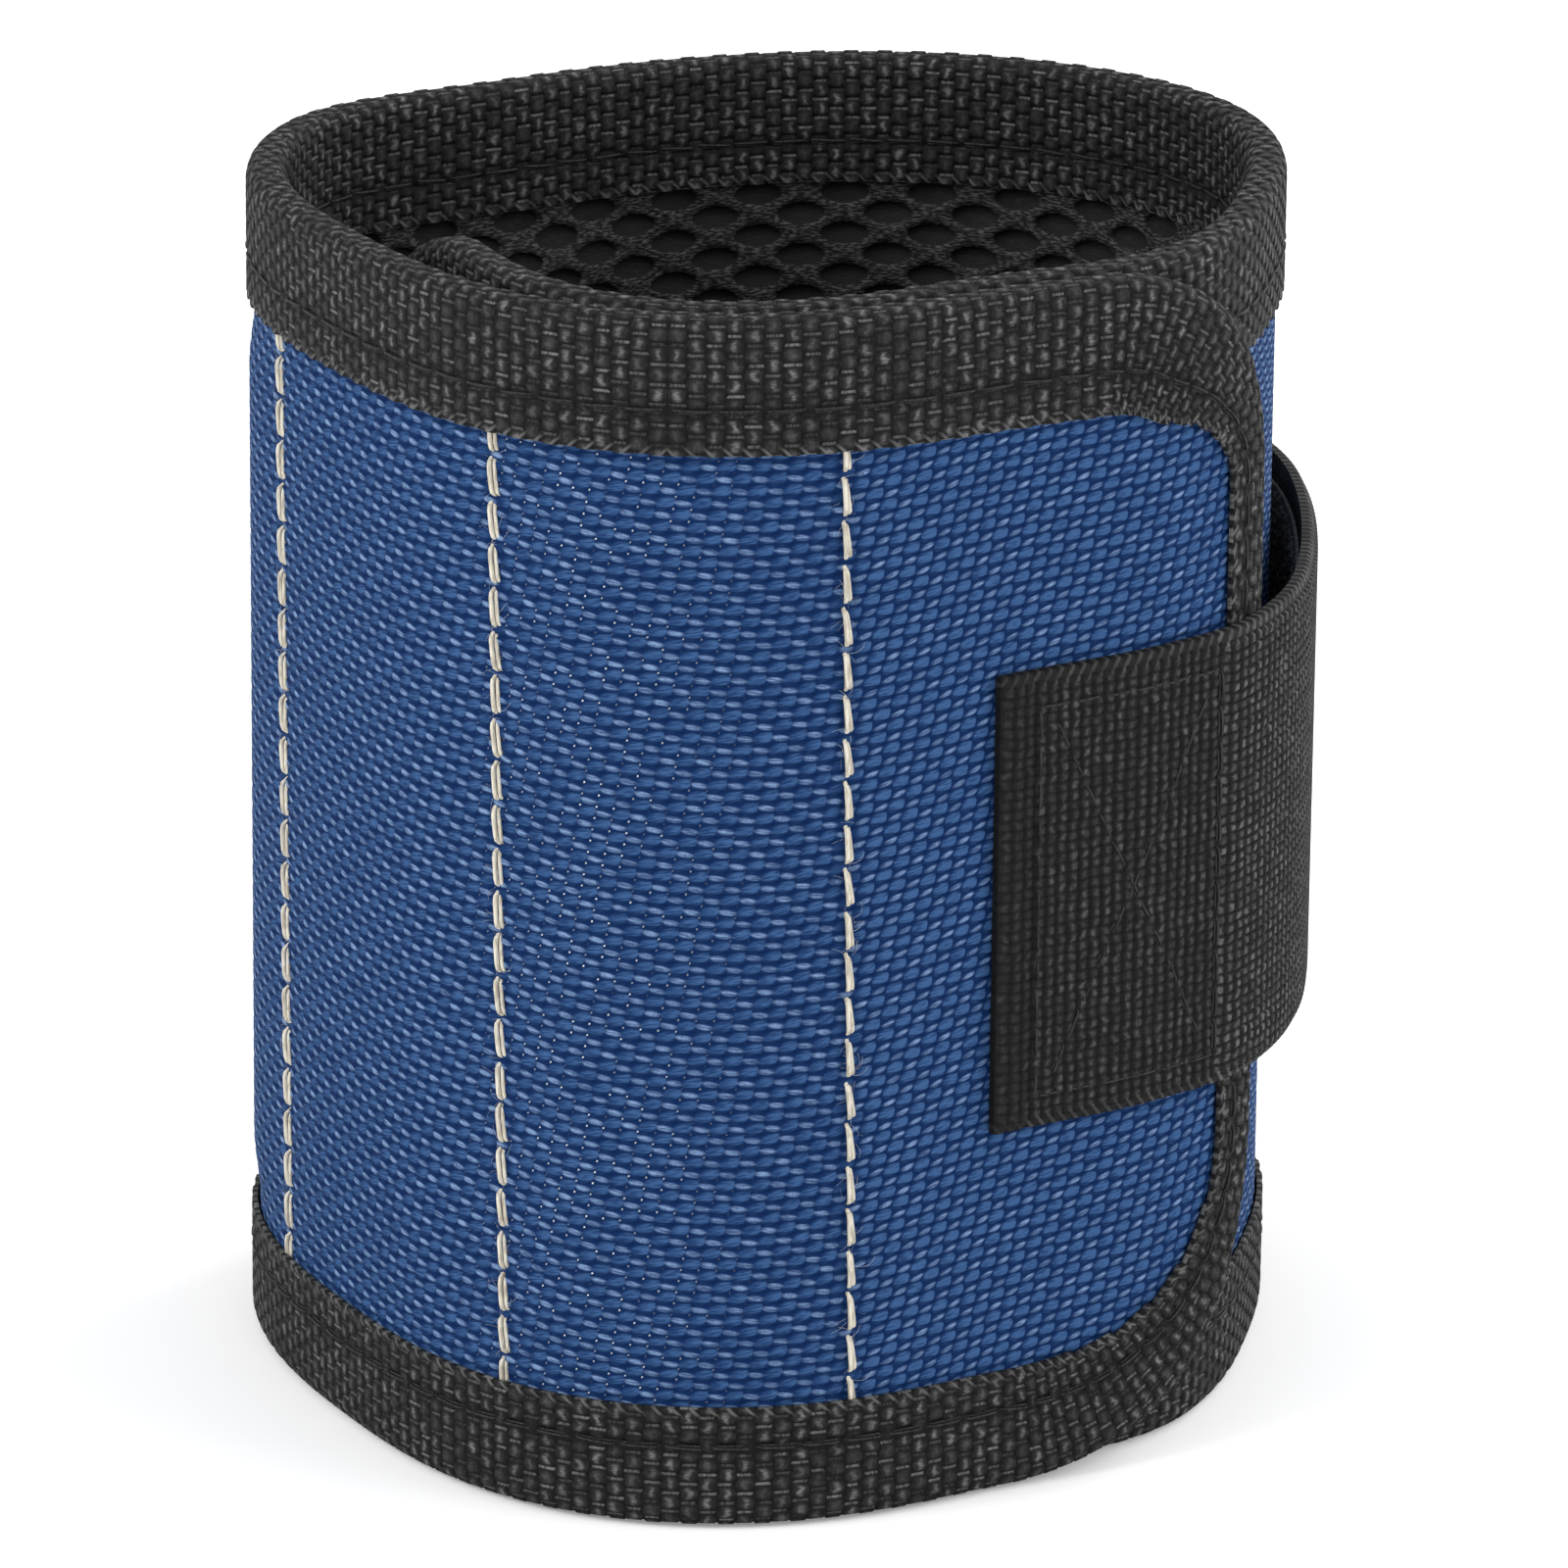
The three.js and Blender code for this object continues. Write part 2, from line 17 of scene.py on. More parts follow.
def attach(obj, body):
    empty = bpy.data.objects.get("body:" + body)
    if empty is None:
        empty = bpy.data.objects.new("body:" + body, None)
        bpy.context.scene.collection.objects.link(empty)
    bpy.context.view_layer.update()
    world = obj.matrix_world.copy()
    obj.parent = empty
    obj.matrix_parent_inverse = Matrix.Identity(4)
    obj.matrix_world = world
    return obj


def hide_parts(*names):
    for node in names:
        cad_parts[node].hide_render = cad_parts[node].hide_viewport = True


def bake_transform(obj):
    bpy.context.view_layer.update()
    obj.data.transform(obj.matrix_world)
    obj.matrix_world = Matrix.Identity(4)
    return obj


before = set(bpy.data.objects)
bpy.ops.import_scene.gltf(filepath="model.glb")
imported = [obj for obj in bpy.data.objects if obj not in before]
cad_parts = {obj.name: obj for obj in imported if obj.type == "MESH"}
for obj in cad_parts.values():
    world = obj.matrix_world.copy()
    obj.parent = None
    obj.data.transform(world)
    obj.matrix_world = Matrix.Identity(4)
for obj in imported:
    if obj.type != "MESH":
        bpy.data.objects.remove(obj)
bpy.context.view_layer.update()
MM = 0.001
scene = bpy.context.scene

# %% [markdown]
# ## The course of the strip
#
# In plan the strip is a soft loop: its radius swells and dips a little at named angles, the flap climbs
# over the tuck, and the tuck's end curls inwards. It could be drawn as a curve by hand, but the CAD model
# already gives it as a rule, and the same rule in numpy puts thousands of threads on the same line.
# A place on the strip is then a distance along it, an offset outwards and a height.

# %% Loop sizes
BAND_HEIGHT = 90 * MM
LOOP_RADIUS = 37.7 * MM
LOOP_CENTRE = np.array([0.07, -0.35]) * MM
LOOP_SWELLS = {48: 3.7, 125: -2.8, 158: 1.3, 207: -1.3, 257: 3.7, 308: -1.8, 348: -2.7}
LAYER_PITCH = 3.3 * MM
FLAP_END_ANGLE = 693.7
CROSSING_START, CROSSING_SPAN = 290, 40
CURL, CURL_START, CURL_SPAN = 4 * MM, 262, 50
FULL_TURN = 360
ANGLE_STEP = 0.5


def smooth(share):
    """Eases from 0 to 1 and stays there."""
    share = np.clip(share, 0, 1)
    return share * share * (3 - 2 * share)


def loop_swell(angle):
    places = np.array(list(LOOP_SWELLS) + [min(LOOP_SWELLS) + FULL_TURN])
    swells = np.array(list(LOOP_SWELLS.values()) + [LOOP_SWELLS[min(LOOP_SWELLS)]]) * MM
    turned = (angle - places[0]) % FULL_TURN + places[0]
    last = np.clip(np.searchsorted(places, turned, side="right") - 1, 0, len(places) - 2)
    share = (turned - places[last]) / (places[last + 1] - places[last])
    return swells[last] + (swells[last + 1] - swells[last]) * (1 - np.cos(np.pi * share)) / 2


def band_radius(angle):
    lift = LAYER_PITCH * smooth((angle - FULL_TURN - CROSSING_START) / CROSSING_SPAN)
    tuck = LAYER_PITCH * (1 - smooth((angle - CROSSING_START) / CROSSING_SPAN))
    curl = CURL * smooth((CURL_START - angle) / CURL_SPAN)
    return LOOP_RADIUS + loop_swell(angle) + lift - tuck - curl


# %% Walking along a curve in plan
TRACK_BEFORE, TRACK_AFTER = 20, 1.6 * FULL_TURN


class Track:
    """A curve in plan, walked by distance from its start, with an outward side."""

    def __init__(self, radius_at, start, way):
        self.radius_at = radius_at
        turned = np.arange(-TRACK_BEFORE, TRACK_AFTER, ANGLE_STEP)
        self.angles = start + way * turned
        steps = np.linalg.norm(np.diff(self.point(self.angles), axis=0), axis=1)
        walked = np.concatenate([[0], np.cumsum(steps)])
        self.walked = walked - np.interp(0, turned, walked)

    def point(self, angle):
        spread = np.radians(angle)
        return self.radius_at(angle)[..., None] * np.stack([np.cos(spread), np.sin(spread)], -1)

    def angle_at(self, distance):
        return np.interp(distance, self.walked, self.angles)

    def at(self, distance, offset, z):
        distance, offset, z = np.broadcast_arrays(distance, offset, z)
        angle = self.angle_at(distance)
        along = self.point(angle + ANGLE_STEP) - self.point(angle - ANGLE_STEP)
        out = np.stack([along[..., 1], -along[..., 0]], -1)
        out = out / np.linalg.norm(out, axis=-1, keepdims=True)
        plan = self.point(angle) + offset[..., None] * out - LOOP_CENTRE
        return np.concatenate([plan, z[..., None]], -1)


band = Track(band_radius, FLAP_END_ANGLE, -1)
print("flap end at", band.at(np.array(0.0), 0, 0).round(4))

# %% Sections, seams and cuts
SECTIONS = {
    "flap": 37.5, "front": 26, "front_left": 31, "left": 29, "back": 58,
    "right": 29, "side": 29, "under": 40, "tuck": 49,
}
section_names = list(SECTIONS)
section_ends = np.cumsum(list(SECTIONS.values())) * MM
section_starts = section_ends - np.array(list(SECTIONS.values())) * MM
BAND_LENGTH = section_ends[-1]
seam_places = section_ends[:-1]
cuts = np.concatenate([[0], ((section_starts + section_ends) / 2)[1:-1], [BAND_LENGTH]])
BEND_REACH = 4.5 * MM


def bend_over(piece, first, second, track, seam, shift=0.0):
    """Bakes the piece's place into its mesh; the two bodies are not used, and the stretch round the seam is
    found but not used.
    """
    reach = seam + shift + np.array([-BEND_REACH, BEND_REACH])
    start, end = track.at(reach, 0, BAND_HEIGHT / 2)
    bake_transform(piece)


print("strip", round(BAND_LENGTH / MM), "mm, seams at", (seam_places / MM).round(1))

# %% [markdown]
# ## Camera, floor and light
#
# The photograph looks a little down on the band with a long lens, so the uprights stay upright.
# The camera's height, distance and lens were fitted to the outline of the band, for a square image.
# The surroundings are a white studio. A white floor keeps the band's shadow, and the backdrop is white
# only for the camera and for reflections, so the cloth isn't washed out by it.

# %% Camera
VIEW_ELEVATION = math.radians(17.5)
VIEW_DISTANCE = 782 * MM
VIEW_ROLL = math.radians(-0.55)
SLIDE_RIGHT, SLIDE_UP = -0.73 * MM, 1.9 * MM
FOCAL_PIXELS, IMAGE_PIXELS = 10700, 1600

ahead = Vector((0, math.cos(VIEW_ELEVATION), -math.sin(VIEW_ELEVATION)))
level = Vector((1, 0, 0))
upright = Vector((0, math.sin(VIEW_ELEVATION), math.cos(VIEW_ELEVATION)))
right = math.cos(VIEW_ROLL) * level - math.sin(VIEW_ROLL) * upright
up = math.sin(VIEW_ROLL) * level + math.cos(VIEW_ROLL) * upright
aim = Vector((-LOOP_CENTRE[0], -LOOP_CENTRE[1], BAND_HEIGHT / 2))

lens = bpy.data.cameras.new("photo_camera")
lens.sensor_width = 36
lens.lens = lens.sensor_width * FOCAL_PIXELS / IMAGE_PIXELS
lens.clip_start, lens.clip_end = 0.05, 50
camera = bpy.data.objects.new("photo_camera", lens)
camera.matrix_world = Matrix((right, up, -ahead)).transposed().to_4x4()
camera.location = aim - VIEW_DISTANCE * ahead - SLIDE_RIGHT * right - SLIDE_UP * up
scene.collection.objects.link(camera)
scene.camera = camera
scene.view_settings.view_transform = "Standard"
print("lens", round(lens.lens, 1), "mm at", tuple(round(x, 3) for x in camera.location))


# %% Small helpers for node trees
class Wire:
    """A number in a node tree; every step of reckoning with it adds one node to that tree."""

    def __init__(self, socket):
        self.socket, self.tree = socket, socket.id_data

    def reckon(self, how, other=0.0):
        return reckon(self.tree, how, self, other)

    def fade(self, start, stop, low=1.0, high=0.0):
        """Goes softly from one level to another as the number goes from start to stop."""
        ends = {0: self, 1: start, 2: stop, 3: low, 4: high}
        node = add_node(self.tree, "ShaderNodeMapRange", ends, interpolation_type="SMOOTHSTEP")
        return Wire(node.outputs[0])

    def __add__(self, other):
        return self.reckon("ADD", other)

    def __sub__(self, other):
        return self.reckon("SUBTRACT", other)

    def __rsub__(self, other):
        return reckon(self.tree, "SUBTRACT", other, self)

    def __mul__(self, other):
        return self.reckon("MULTIPLY", other)

    def __truediv__(self, other):
        return self.reckon("DIVIDE", other)

    def __mod__(self, other):
        return self.reckon("FLOORED_MODULO", other)

    def __abs__(self):
        return self.reckon("ABSOLUTE")


def add_node(tree, kind, inputs=None, **settings):
    """One node with its settings; each input is a wire or a socket to join, or a value to set."""
    node = tree.nodes.new(kind)
    for key, value in settings.items():
        setattr(node, key, value)
    for key, value in (inputs or {}).items():
        value = value.socket if isinstance(value, Wire) else value
        if isinstance(value, bpy.types.NodeSocket):
            tree.links.new(value, node.inputs[key])
        else:
            node.inputs[key].default_value = value
    return node


def reckon(tree, how, a, b):
    return Wire(add_node(tree, "ShaderNodeMath", {0: a, 1: b}, operation=how).outputs[0])


def mix_colour(share, a, b):
    return add_node(share.tree, "ShaderNodeMix", {0: share, 6: a, 7: b}, data_type="RGBA").outputs[2]


def grain_of(tree, scale, detail, upright=1.0):
    """Fine mottling that is fixed to the piece; an upright below 1 draws it out along z."""
    spot = add_node(tree, "ShaderNodeTexCoord").outputs["Object"]
    drawn = add_node(tree, "ShaderNodeMapping", {"Vector": spot, "Scale": (1.0, 1.0, upright)})
    noise = {"Vector": drawn.outputs[0], "Scale": scale, "Detail": detail}
    return Wire(add_node(tree, "ShaderNodeTexNoise", noise).outputs[0])


def new_finish(name, settings):
    """A material with one Principled shader, its plain numbers set on its own sockets."""
    finish = bpy.data.materials.new(name)
    finish.use_nodes = True
    tree = finish.node_tree
    tree.nodes.clear()
    shader = add_node(tree, "ShaderNodeBsdfPrincipled", settings)
    add_node(tree, "ShaderNodeOutputMaterial", {0: shader.outputs[0]})
    return finish, tree, shader


def join_surface(tree, shader, colour, roughness, relief=None, strength=0.0, depth=0.0):
    """Joins a finish's colour, roughness and fine relief to its shader."""
    tree.links.new(colour, shader.inputs["Base Color"])
    tree.links.new(roughness.socket, shader.inputs["Roughness"])
    if relief is not None:
        bump = add_node(tree, "ShaderNodeBump", {"Strength": strength, "Distance": depth, "Height": relief})
        tree.links.new(bump.outputs[0], shader.inputs["Normal"])


# %% Floor, backdrop and lamps
AMBIENT, FLOOR_GLOW = 0.70, 0.20
FLOOR_WHITE, FLOOR_WHITER = (0.93, 0.93, 0.93, 1), (0.95, 0.95, 0.95, 1)
FLOOR_RADIUS, FLOOR_DROP = 6.0, 0.2 * MM
floor_finish, tree, shader = new_finish("floor_white", {"Roughness": 0.9, "Emission Color": (1, 1, 1, 1)})
speckle = Wire(add_node(tree, "ShaderNodeTexNoise", {"Scale": 6.0}).outputs[0])
paint = mix_colour(speckle.fade(0.3, 0.7), FLOOR_WHITE, FLOOR_WHITER)
tree.links.new(paint, shader.inputs["Base Color"])
path = add_node(tree, "ShaderNodeLightPath")
glow = Wire(path.outputs["Is Camera Ray"]) * FLOOR_GLOW
tree.links.new(glow.socket, shader.inputs["Emission Strength"])
bpy.ops.mesh.primitive_circle_add(
    vertices=96, radius=FLOOR_RADIUS, fill_type="NGON", location=(0, 0, -FLOOR_DROP))
floor = bpy.context.object
floor.name = "floor"
floor.data.materials.append(floor_finish)

studio = bpy.data.worlds.new("white_studio")
scene.world = studio
studio.use_nodes = True
tree = studio.node_tree
tree.nodes.clear()
path = add_node(tree, "ShaderNodeLightPath")
camera_ray, glossy_ray, clear_ray = (
    Wire(path.outputs[f"Is {kind} Ray"]) for kind in ("Camera", "Glossy", "Transmission"))
seen = camera_ray.reckon("MAXIMUM", glossy_ray).reckon("MAXIMUM", clear_ray)
glow = add_node(tree, "ShaderNodeMapRange", {0: seen, 3: AMBIENT, 4: 1.0})
backdrop = add_node(tree, "ShaderNodeBackground", {"Color": (1, 1, 1, 1), "Strength": glow.outputs[0]})
add_node(tree, "ShaderNodeOutputWorld", {0: backdrop.outputs[0]})


def add_softbox(name, azimuth, elevation, distance, width, height, power):
    """A rectangular lamp that faces the band; azimuth 0 is the camera's side, counted to the right."""
    light = bpy.data.lights.new(name, "AREA")
    light.shape = "RECTANGLE"
    light.size, light.size_y, light.energy = width, height, power
    lamp = bpy.data.objects.new(name, light)
    around, rise = math.radians(azimuth), math.radians(elevation)
    way = Vector((math.sin(around) * math.cos(rise), -math.cos(around) * math.cos(rise), math.sin(rise)))
    lamp.location = aim + distance * way
    lamp.rotation_euler = way.to_track_quat("Z", "Y").to_euler()
    scene.collection.objects.link(lamp)


add_softbox("key_left", azimuth=-62, elevation=34, distance=0.9, width=0.5, height=0.6, power=4.1)
add_softbox("fill_right", azimuth=70, elevation=30, distance=0.9, width=0.5, height=0.7, power=2.8)
add_softbox("low_front", azimuth=10, elevation=6, distance=1.0, width=0.6, height=0.2, power=1.3)
add_softbox("rim_right", azimuth=128, elevation=34, distance=0.9, width=0.4, height=0.6, power=2.6)

# %% [markdown]
# ## Woven layers
#
# Cloth, tape and webbing are all threads crossing at right angles, so each is made by one routine: a lattice
# with one cell for each thread crossing, a few faces in each cell to carry the thread's rise and fall, a
# plain back and walls along the open edge. A bump texture on a smooth sheet would be lighter, but its edges
# stay straight, and here the tape's scalloped rim is what the eye sees first.
# Each corner keeps its place in the lattice as a UV map, so that the finish can colour single threads.


# %% Lattice mesh
BAKE_MARGIN, BAKE_FRONT, BAKE_BACK, BAKE_WALLS = 0.01, (0.29, 0.7), (0.05, 0.22), (0.01, 0.02)


def as_object(name, mesh, finish):
    piece = bpy.data.objects.new(name, mesh)
    scene.collection.objects.link(piece)
    mesh.materials.clear()
    mesh.materials.append(finish)
    return piece


def mesh_of(name, points, rings, maps, ways):
    """A mesh from rings of faces, each an array of faces with the same number of corners.

    The first ring is the rounded face of a layer and has its own outward ways. The other rings stay flat.
    """
    corners = np.concatenate([ring.ravel() for ring in rings])
    sizes = np.concatenate([np.full(len(ring), ring.shape[1]) for ring in rings])
    used, corners = np.unique(corners, return_inverse=True)
    mesh = bpy.data.meshes.new(name)
    mesh.vertices.add(len(used))
    mesh.vertices.foreach_set("co", points[used].astype(np.float32).ravel())
    mesh.loops.add(len(corners))
    mesh.loops.foreach_set("vertex_index", corners.astype(np.int32).ravel())
    mesh.polygons.add(len(sizes))
    mesh.polygons.foreach_set("loop_start", (np.cumsum(sizes) - sizes).astype(np.int32))
    mesh.polygons.foreach_set("use_smooth", np.arange(len(sizes)) < len(rings[0]))
    for title, places in maps.items():
        mesh.uv_layers.new(name=title).data.foreach_set("uv", places.astype(np.float32).ravel())
    mesh.update(calc_edges=True)
    mesh.validate()
    flat = np.zeros((len(corners) - len(ways), 3))
    mesh.normals_split_custom_set(np.concatenate([ways, flat]).tolist())
    return mesh


def lattice_ticks(span, parts):
    """Where faces begin along a run of crossings, with one more place before the run and one after it."""
    cells = np.arange(span[0], span[1])
    inner = (cells[:, None] + np.array(parts)).ravel()
    return np.concatenate([[span[0] - 1 + parts[-1]], inner, [span[1], span[1] + (*parts, 1)[1]]])


def outward_ways(points):
    """Outward ways at the inner corners of a grid, each the mean of the four faces round it."""
    faces = np.cross(points[1:, 1:] - points[:-1, :-1], points[:-1, 1:] - points[1:, :-1])
    ways = faces[:-1, :-1] + faces[1:, :-1] + faces[:-1, 1:] + faces[1:, 1:]
    return ways / np.linalg.norm(ways, axis=-1, keepdims=True)


def lattice_walls(kept, fine, coarse, across, upward):
    """Faces that close the layer along each side where a cell has no neighbour."""
    walls = []
    for turned in (0, 1):
        for far in (0, 1):
            alone = kept & ~np.pad(kept, ((1, 1), (0, 0)))[2 * far:len(kept) + 2 * far]
            i, j = np.nonzero(alone)
            run = j[:, None] * upward + np.arange(upward + 1)
            rim = fine[((i + far) * across)[:, None], run]
            wall = np.column_stack([rim, coarse[i + far, j + 1], coarse[i + far, j]])
            walls.append(wall if far == turned else wall[:, ::-1])
        kept, fine, coarse, across, upward = kept.T, fine.T, coarse.T, upward, across
    return [wall for wall in walls if len(wall)]


def quads(grid):
    return np.stack([grid[:-1, :-1], grid[1:, :-1], grid[1:, 1:], grid[:-1, 1:]], -1)


def woven_layer(name, columns, rows, parts, layer, finish):
    """A closed layer with one lattice cell for each thread crossing.

    The layer gives the places of its front and back, what lies inside its outline, and two numbers for its
    finish. The bake map lays the front, the back and the walls in three strips.
    """
    across, upward = len(parts[0]), len(parts[1])
    ticks = lattice_ticks(columns, parts[0]), lattice_ticks(rows, parts[1])
    wide = np.stack(np.meshgrid(*ticks, indexing="ij"), -1)
    wide_front = layer.front(wide[..., 0], wide[..., 1])
    front, spots = wide_front[1:-1, 1:-1], wide[1:-1, 1:-1]
    knots = spots[::across, ::upward]
    back = layer.back(knots[..., 0], knots[..., 1])
    fine = np.arange(front[..., 0].size).reshape(front.shape[:2])
    coarse = fine.size + np.arange(back[..., 0].size).reshape(back.shape[:2])
    kept = quads(layer.inside(knots[..., 0], knots[..., 1])).all(-1)
    shown = np.repeat(np.repeat(kept, across, 0), upward, 1)
    walls = lattice_walls(kept, fine, coarse, across, upward)
    rings = [quads(fine)[shown], quads(coarse)[kept][:, ::-1], *walls]
    points = np.concatenate([front.reshape(-1, 3), back.reshape(-1, 3)])
    ways = outward_ways(wide_front).reshape(-1, 3)
    a, b, _, d = points[rings[0][0]]
    if np.dot(np.cross(b - a, d - a), points[rings[0][0][0]] - points[rings[1][0][0]]) < 0:
        rings, ways = [ring[:, ::-1] for ring in rings], -ways
    threads = np.concatenate([spots.reshape(-1, 2), knots.reshape(-1, 2)])
    share = (threads - threads.min(0)) / (threads.max(0) - threads.min(0))
    strips = [BAKE_FRONT, BAKE_BACK] + [BAKE_WALLS] * len(walls)
    bake = [share[ring] * (1 - 2 * BAKE_MARGIN, height) + (BAKE_MARGIN, foot)
            for ring, (foot, height) in zip(rings, strips)]
    place = layer.share(threads[:, 0], threads[:, 1])
    maps = {
        "weave": np.concatenate([threads[ring].reshape(-1, 2) for ring in rings]),
        "place": np.concatenate([place[ring].reshape(-1, 2) for ring in rings]),
        "OFBake": np.concatenate([places.reshape(-1, 2) for places in bake]),
    }
    mesh = mesh_of(name, points, rings, maps, ways[rings[0]].reshape(-1, 3))
    return as_object(name, mesh, finish)


print("a layer is a lattice of thread crossings with a front, a back and walls")

# %% [markdown]
# ## Blue cloth
#
# The outer cloth is a coarse plain weave of heavy blue filament yarn, about 0.8 by 1.2 crossings to the
# millimetre. Weft floats catch the light as short pale strokes, painted a lighter blue as highlight; warp
# floats between them stay a duller blue, and the gaps are painted navy as shade. On the flap the strokes lean
# the other way and are painted lighter at one end as highlight.
# The warp leans about ten degrees because the strip was cut slightly off the thread.
# The finish reads the lattice map, so every stroke sits on its own raised float.

# %% Thread pattern helpers
def lattice_map(tree, title):
    spot = add_node(tree, "ShaderNodeUVMap", uv_map=title).outputs[0]
    split = add_node(tree, "ShaderNodeSeparateXYZ", {0: spot})
    return Wire(split.outputs[0]), Wire(split.outputs[1])


def thread_grid(tree):
    """The lattice map, split into thread numbers and the place within one crossing."""
    u, v = lattice_map(tree, "weave")
    return [u, v] + [way.reckon(how) for how in ("FLOOR", "FRACT") for way in (u, v)]


def off_middle(share):
    """0 in the middle of a crossing, 0.5 at its edge."""
    return abs(share - 0.5)


def oval(off_u, off_v, half_u, half_v):
    """0 in the middle of a crossing, 1 on an oval round it."""
    wide, tall = off_u / half_u, off_v / half_v
    return (wide * wide + tall * tall).reckon("SQRT")


def chance(column, row):
    """One fixed random number for each crossing."""
    cell = add_node(column.tree, "ShaderNodeCombineXYZ", {0: column, 1: row})
    spot = {"Vector": cell.outputs[0]}
    return Wire(add_node(column.tree, "ShaderNodeTexWhiteNoise", spot, noise_dimensions="2D").outputs[0])


def fibres(u, v, along, across, detail=2.0):
    """Fine streaks, long in one direction of the lattice and short in the other."""
    spot = add_node(u.tree, "ShaderNodeCombineXYZ", {0: u * along, 1: v * across})
    noise = {"Vector": spot.outputs[0], "Scale": 1.0, "Detail": detail}
    return Wire(add_node(u.tree, "ShaderNodeTexNoise", noise).outputs[0])

# %% Cloth finish
# The pale weft blue is painted highlight where the floats catch the light, and the navy is painted shade in
# the gaps between the threads.
NAVY_GAP_SHADE = (0.0040, 0.0205, 0.084, 1)
WARP_BLUE = (0.040, 0.098, 0.236, 1)
LIT_WEFT_BLUE = (0.175, 0.275, 0.470, 1)
GLINT_WHITE = (0.86, 0.89, 0.93, 1)
WEFT_SLANT, FLAP_SLANT, WARP_SLANT = 0.20, -0.42, -0.25
# Places along the strip in millimetres: where the painted glints are, the span over which the pills are
# painted dimmer towards the flap as shade, and where the flap gives way to the pockets.
GLINT_MIDDLE, GLINT_REACH, PILL_DIMMING_SPAN, FLAP_TO = 56.0, 13.0, (34.0, 76.0), (36.5, 38.5)

cloth_finish, tree, shader = new_finish("blue_plain_weave", {"Specular IOR Level": 0.04})
u, v, column, row, in_u, in_v = thread_grid(tree)
near_seam, distance = lattice_map(tree, "place")
# White glints are painted only in a zone round the middle of the front pocket, as highlights.
painted_glint_zone = abs(distance - GLINT_MIDDLE).fade(0.0, GLINT_REACH)
# The pills are painted dimmer towards the flap, as shade, and lighter further along the strip.
painted_pill_dimming = distance.fade(*PILL_DIMMING_SPAN)
on_flap = distance.fade(*FLAP_TO)
weft_slant = on_flap.fade(0.0, 1.0, WEFT_SLANT, FLAP_SLANT)
warp_up = (column + row) % 2.0
weft_up = 1.0 - warp_up
off_u, off_v = off_middle(in_u), off_middle(in_v)
luck = chance(column, row)


def from_float(share, elsewhere):
    """Way from the middle of the nearest float, also when that float lies over the next crossing."""
    way = share - 0.5
    return way - elsewhere * way.reckon("SIGN")


weft_lines = fibres(u, v - u * weft_slant, 1.1, 6.5)
warp_lines = fibres(u, v - u * WARP_SLANT, 1.3, 6.5)
ticks = fibres(u, v, 9.0, 1.6)
along_weft = from_float(in_u, warp_up)
across_weft = in_v - 0.5 - along_weft * weft_slant
tip_light = (along_weft * on_flap).fade(-0.4, 0.4, 1.25, 0.75)
pill_reach = on_flap.fade(0.0, 1.0, 0.64, 0.50)
pill = oval(along_weft, across_weft, pill_reach, 0.33).fade(0.35, 1.0)
across_warp = from_float(in_v, weft_up) - (in_u - 0.5) * WARP_SLANT
# The warp patch is painted dark along the bottom of each row, as the shadow under the floats.
patch = oval(off_u, across_warp, 0.74, 0.66).fade(0.45, 1.0) * in_v.fade(0.04, 0.36, 0.2, 1.0)
# Each pill is painted lighter towards its top as highlight, and on the flap lighter at one end as highlight.
weft_share = (
    pill * in_v.fade(0.1, 0.9, 0.8, 1.1) * luck.fade(0.0, 1.0, 0.75, 1.1)
    * weft_lines.fade(0.36, 0.62, 0.35, 1.15) * ticks.fade(0.35, 0.65, 0.8, 1.1)
    * painted_pill_dimming.fade(0.0, 1.0, 1.08, 0.80) * tip_light)
# The warp floats are painted lighter on one side and darker on the other, as light and shade, and darker near
# the sewn lines, as shade in the seam dips.
warp_share = (
    patch * in_u.fade(0.0, 1.0, 1.25, 0.6) * luck.fade(0.0, 1.0, 0.85, 1.1)
    * warp_lines.fade(0.36, 0.62, 0.35, 1.4) * near_seam.fade(0.1, 0.8, 1.0, 0.3)
    * on_flap.fade(0.0, 1.0, 0.80, 1.35))
colour = mix_colour(warp_share, NAVY_GAP_SHADE, WARP_BLUE)
colour = mix_colour(weft_share, colour, LIT_WEFT_BLUE)
corner_luck = chance(u.reckon("ROUND"), v.reckon("ROUND"))
# Painted highlights: white glints at the thread corners, only inside the glint zone.
glint = (
    off_u.fade(0.435, 0.475, 0.0, 1.0) * off_v.fade(0.40, 0.455, 0.0, 1.0) * painted_glint_zone
    * corner_luck.fade(0.2, 1.0, 0.0, 1.0))
colour = mix_colour(glint, colour, GLINT_WHITE)
lines = weft_lines * pill + warp_lines * patch
join_surface(tree, shader, colour, weft_lines.fade(0.3, 0.7, 0.72, 0.6), lines, 0.6, 0.1 * MM)
print("cloth finish", len(tree.nodes), "nodes")

# %% Layer offsets and pockets
CLEARANCE = 0.15 * MM
CLOTH_INNER, CLOTH_OUTER = 0.075 * MM, 0.575 * MM
LINING_OUTER, LINING_INNER = -0.075 * MM, -1.275 * MM
TAPE_OUTER, TAPE_INNER = 1.175 * MM, -1.875 * MM
CREST_HALF, CREST_MIDDLE = (TAPE_OUTER - TAPE_INNER) / 2, (TAPE_OUTER + TAPE_INNER) / 2
FIELD_INSET = CREST_HALF + CLEARANCE
CORNER_TOP, CORNER_BOTTOM = 17 * MM, 24 * MM
TAPE_LEG_TOP, TAPE_LEG_BOTTOM, TAPE_LEG_END = 10 * MM, 9.2 * MM, 5.5 * MM
MAGNET_THICKNESS, LINING_RECESS, LINING_SAG = 1.2 * MM, 1.4 * MM, 1.1 * MM
POCKET_EASE, POCKET_SLOPE, POCKET_LEVEL, POCKET_FULLNESS = 0.5 * MM, 5 * MM, 5.5 * MM, 0.3 * MM
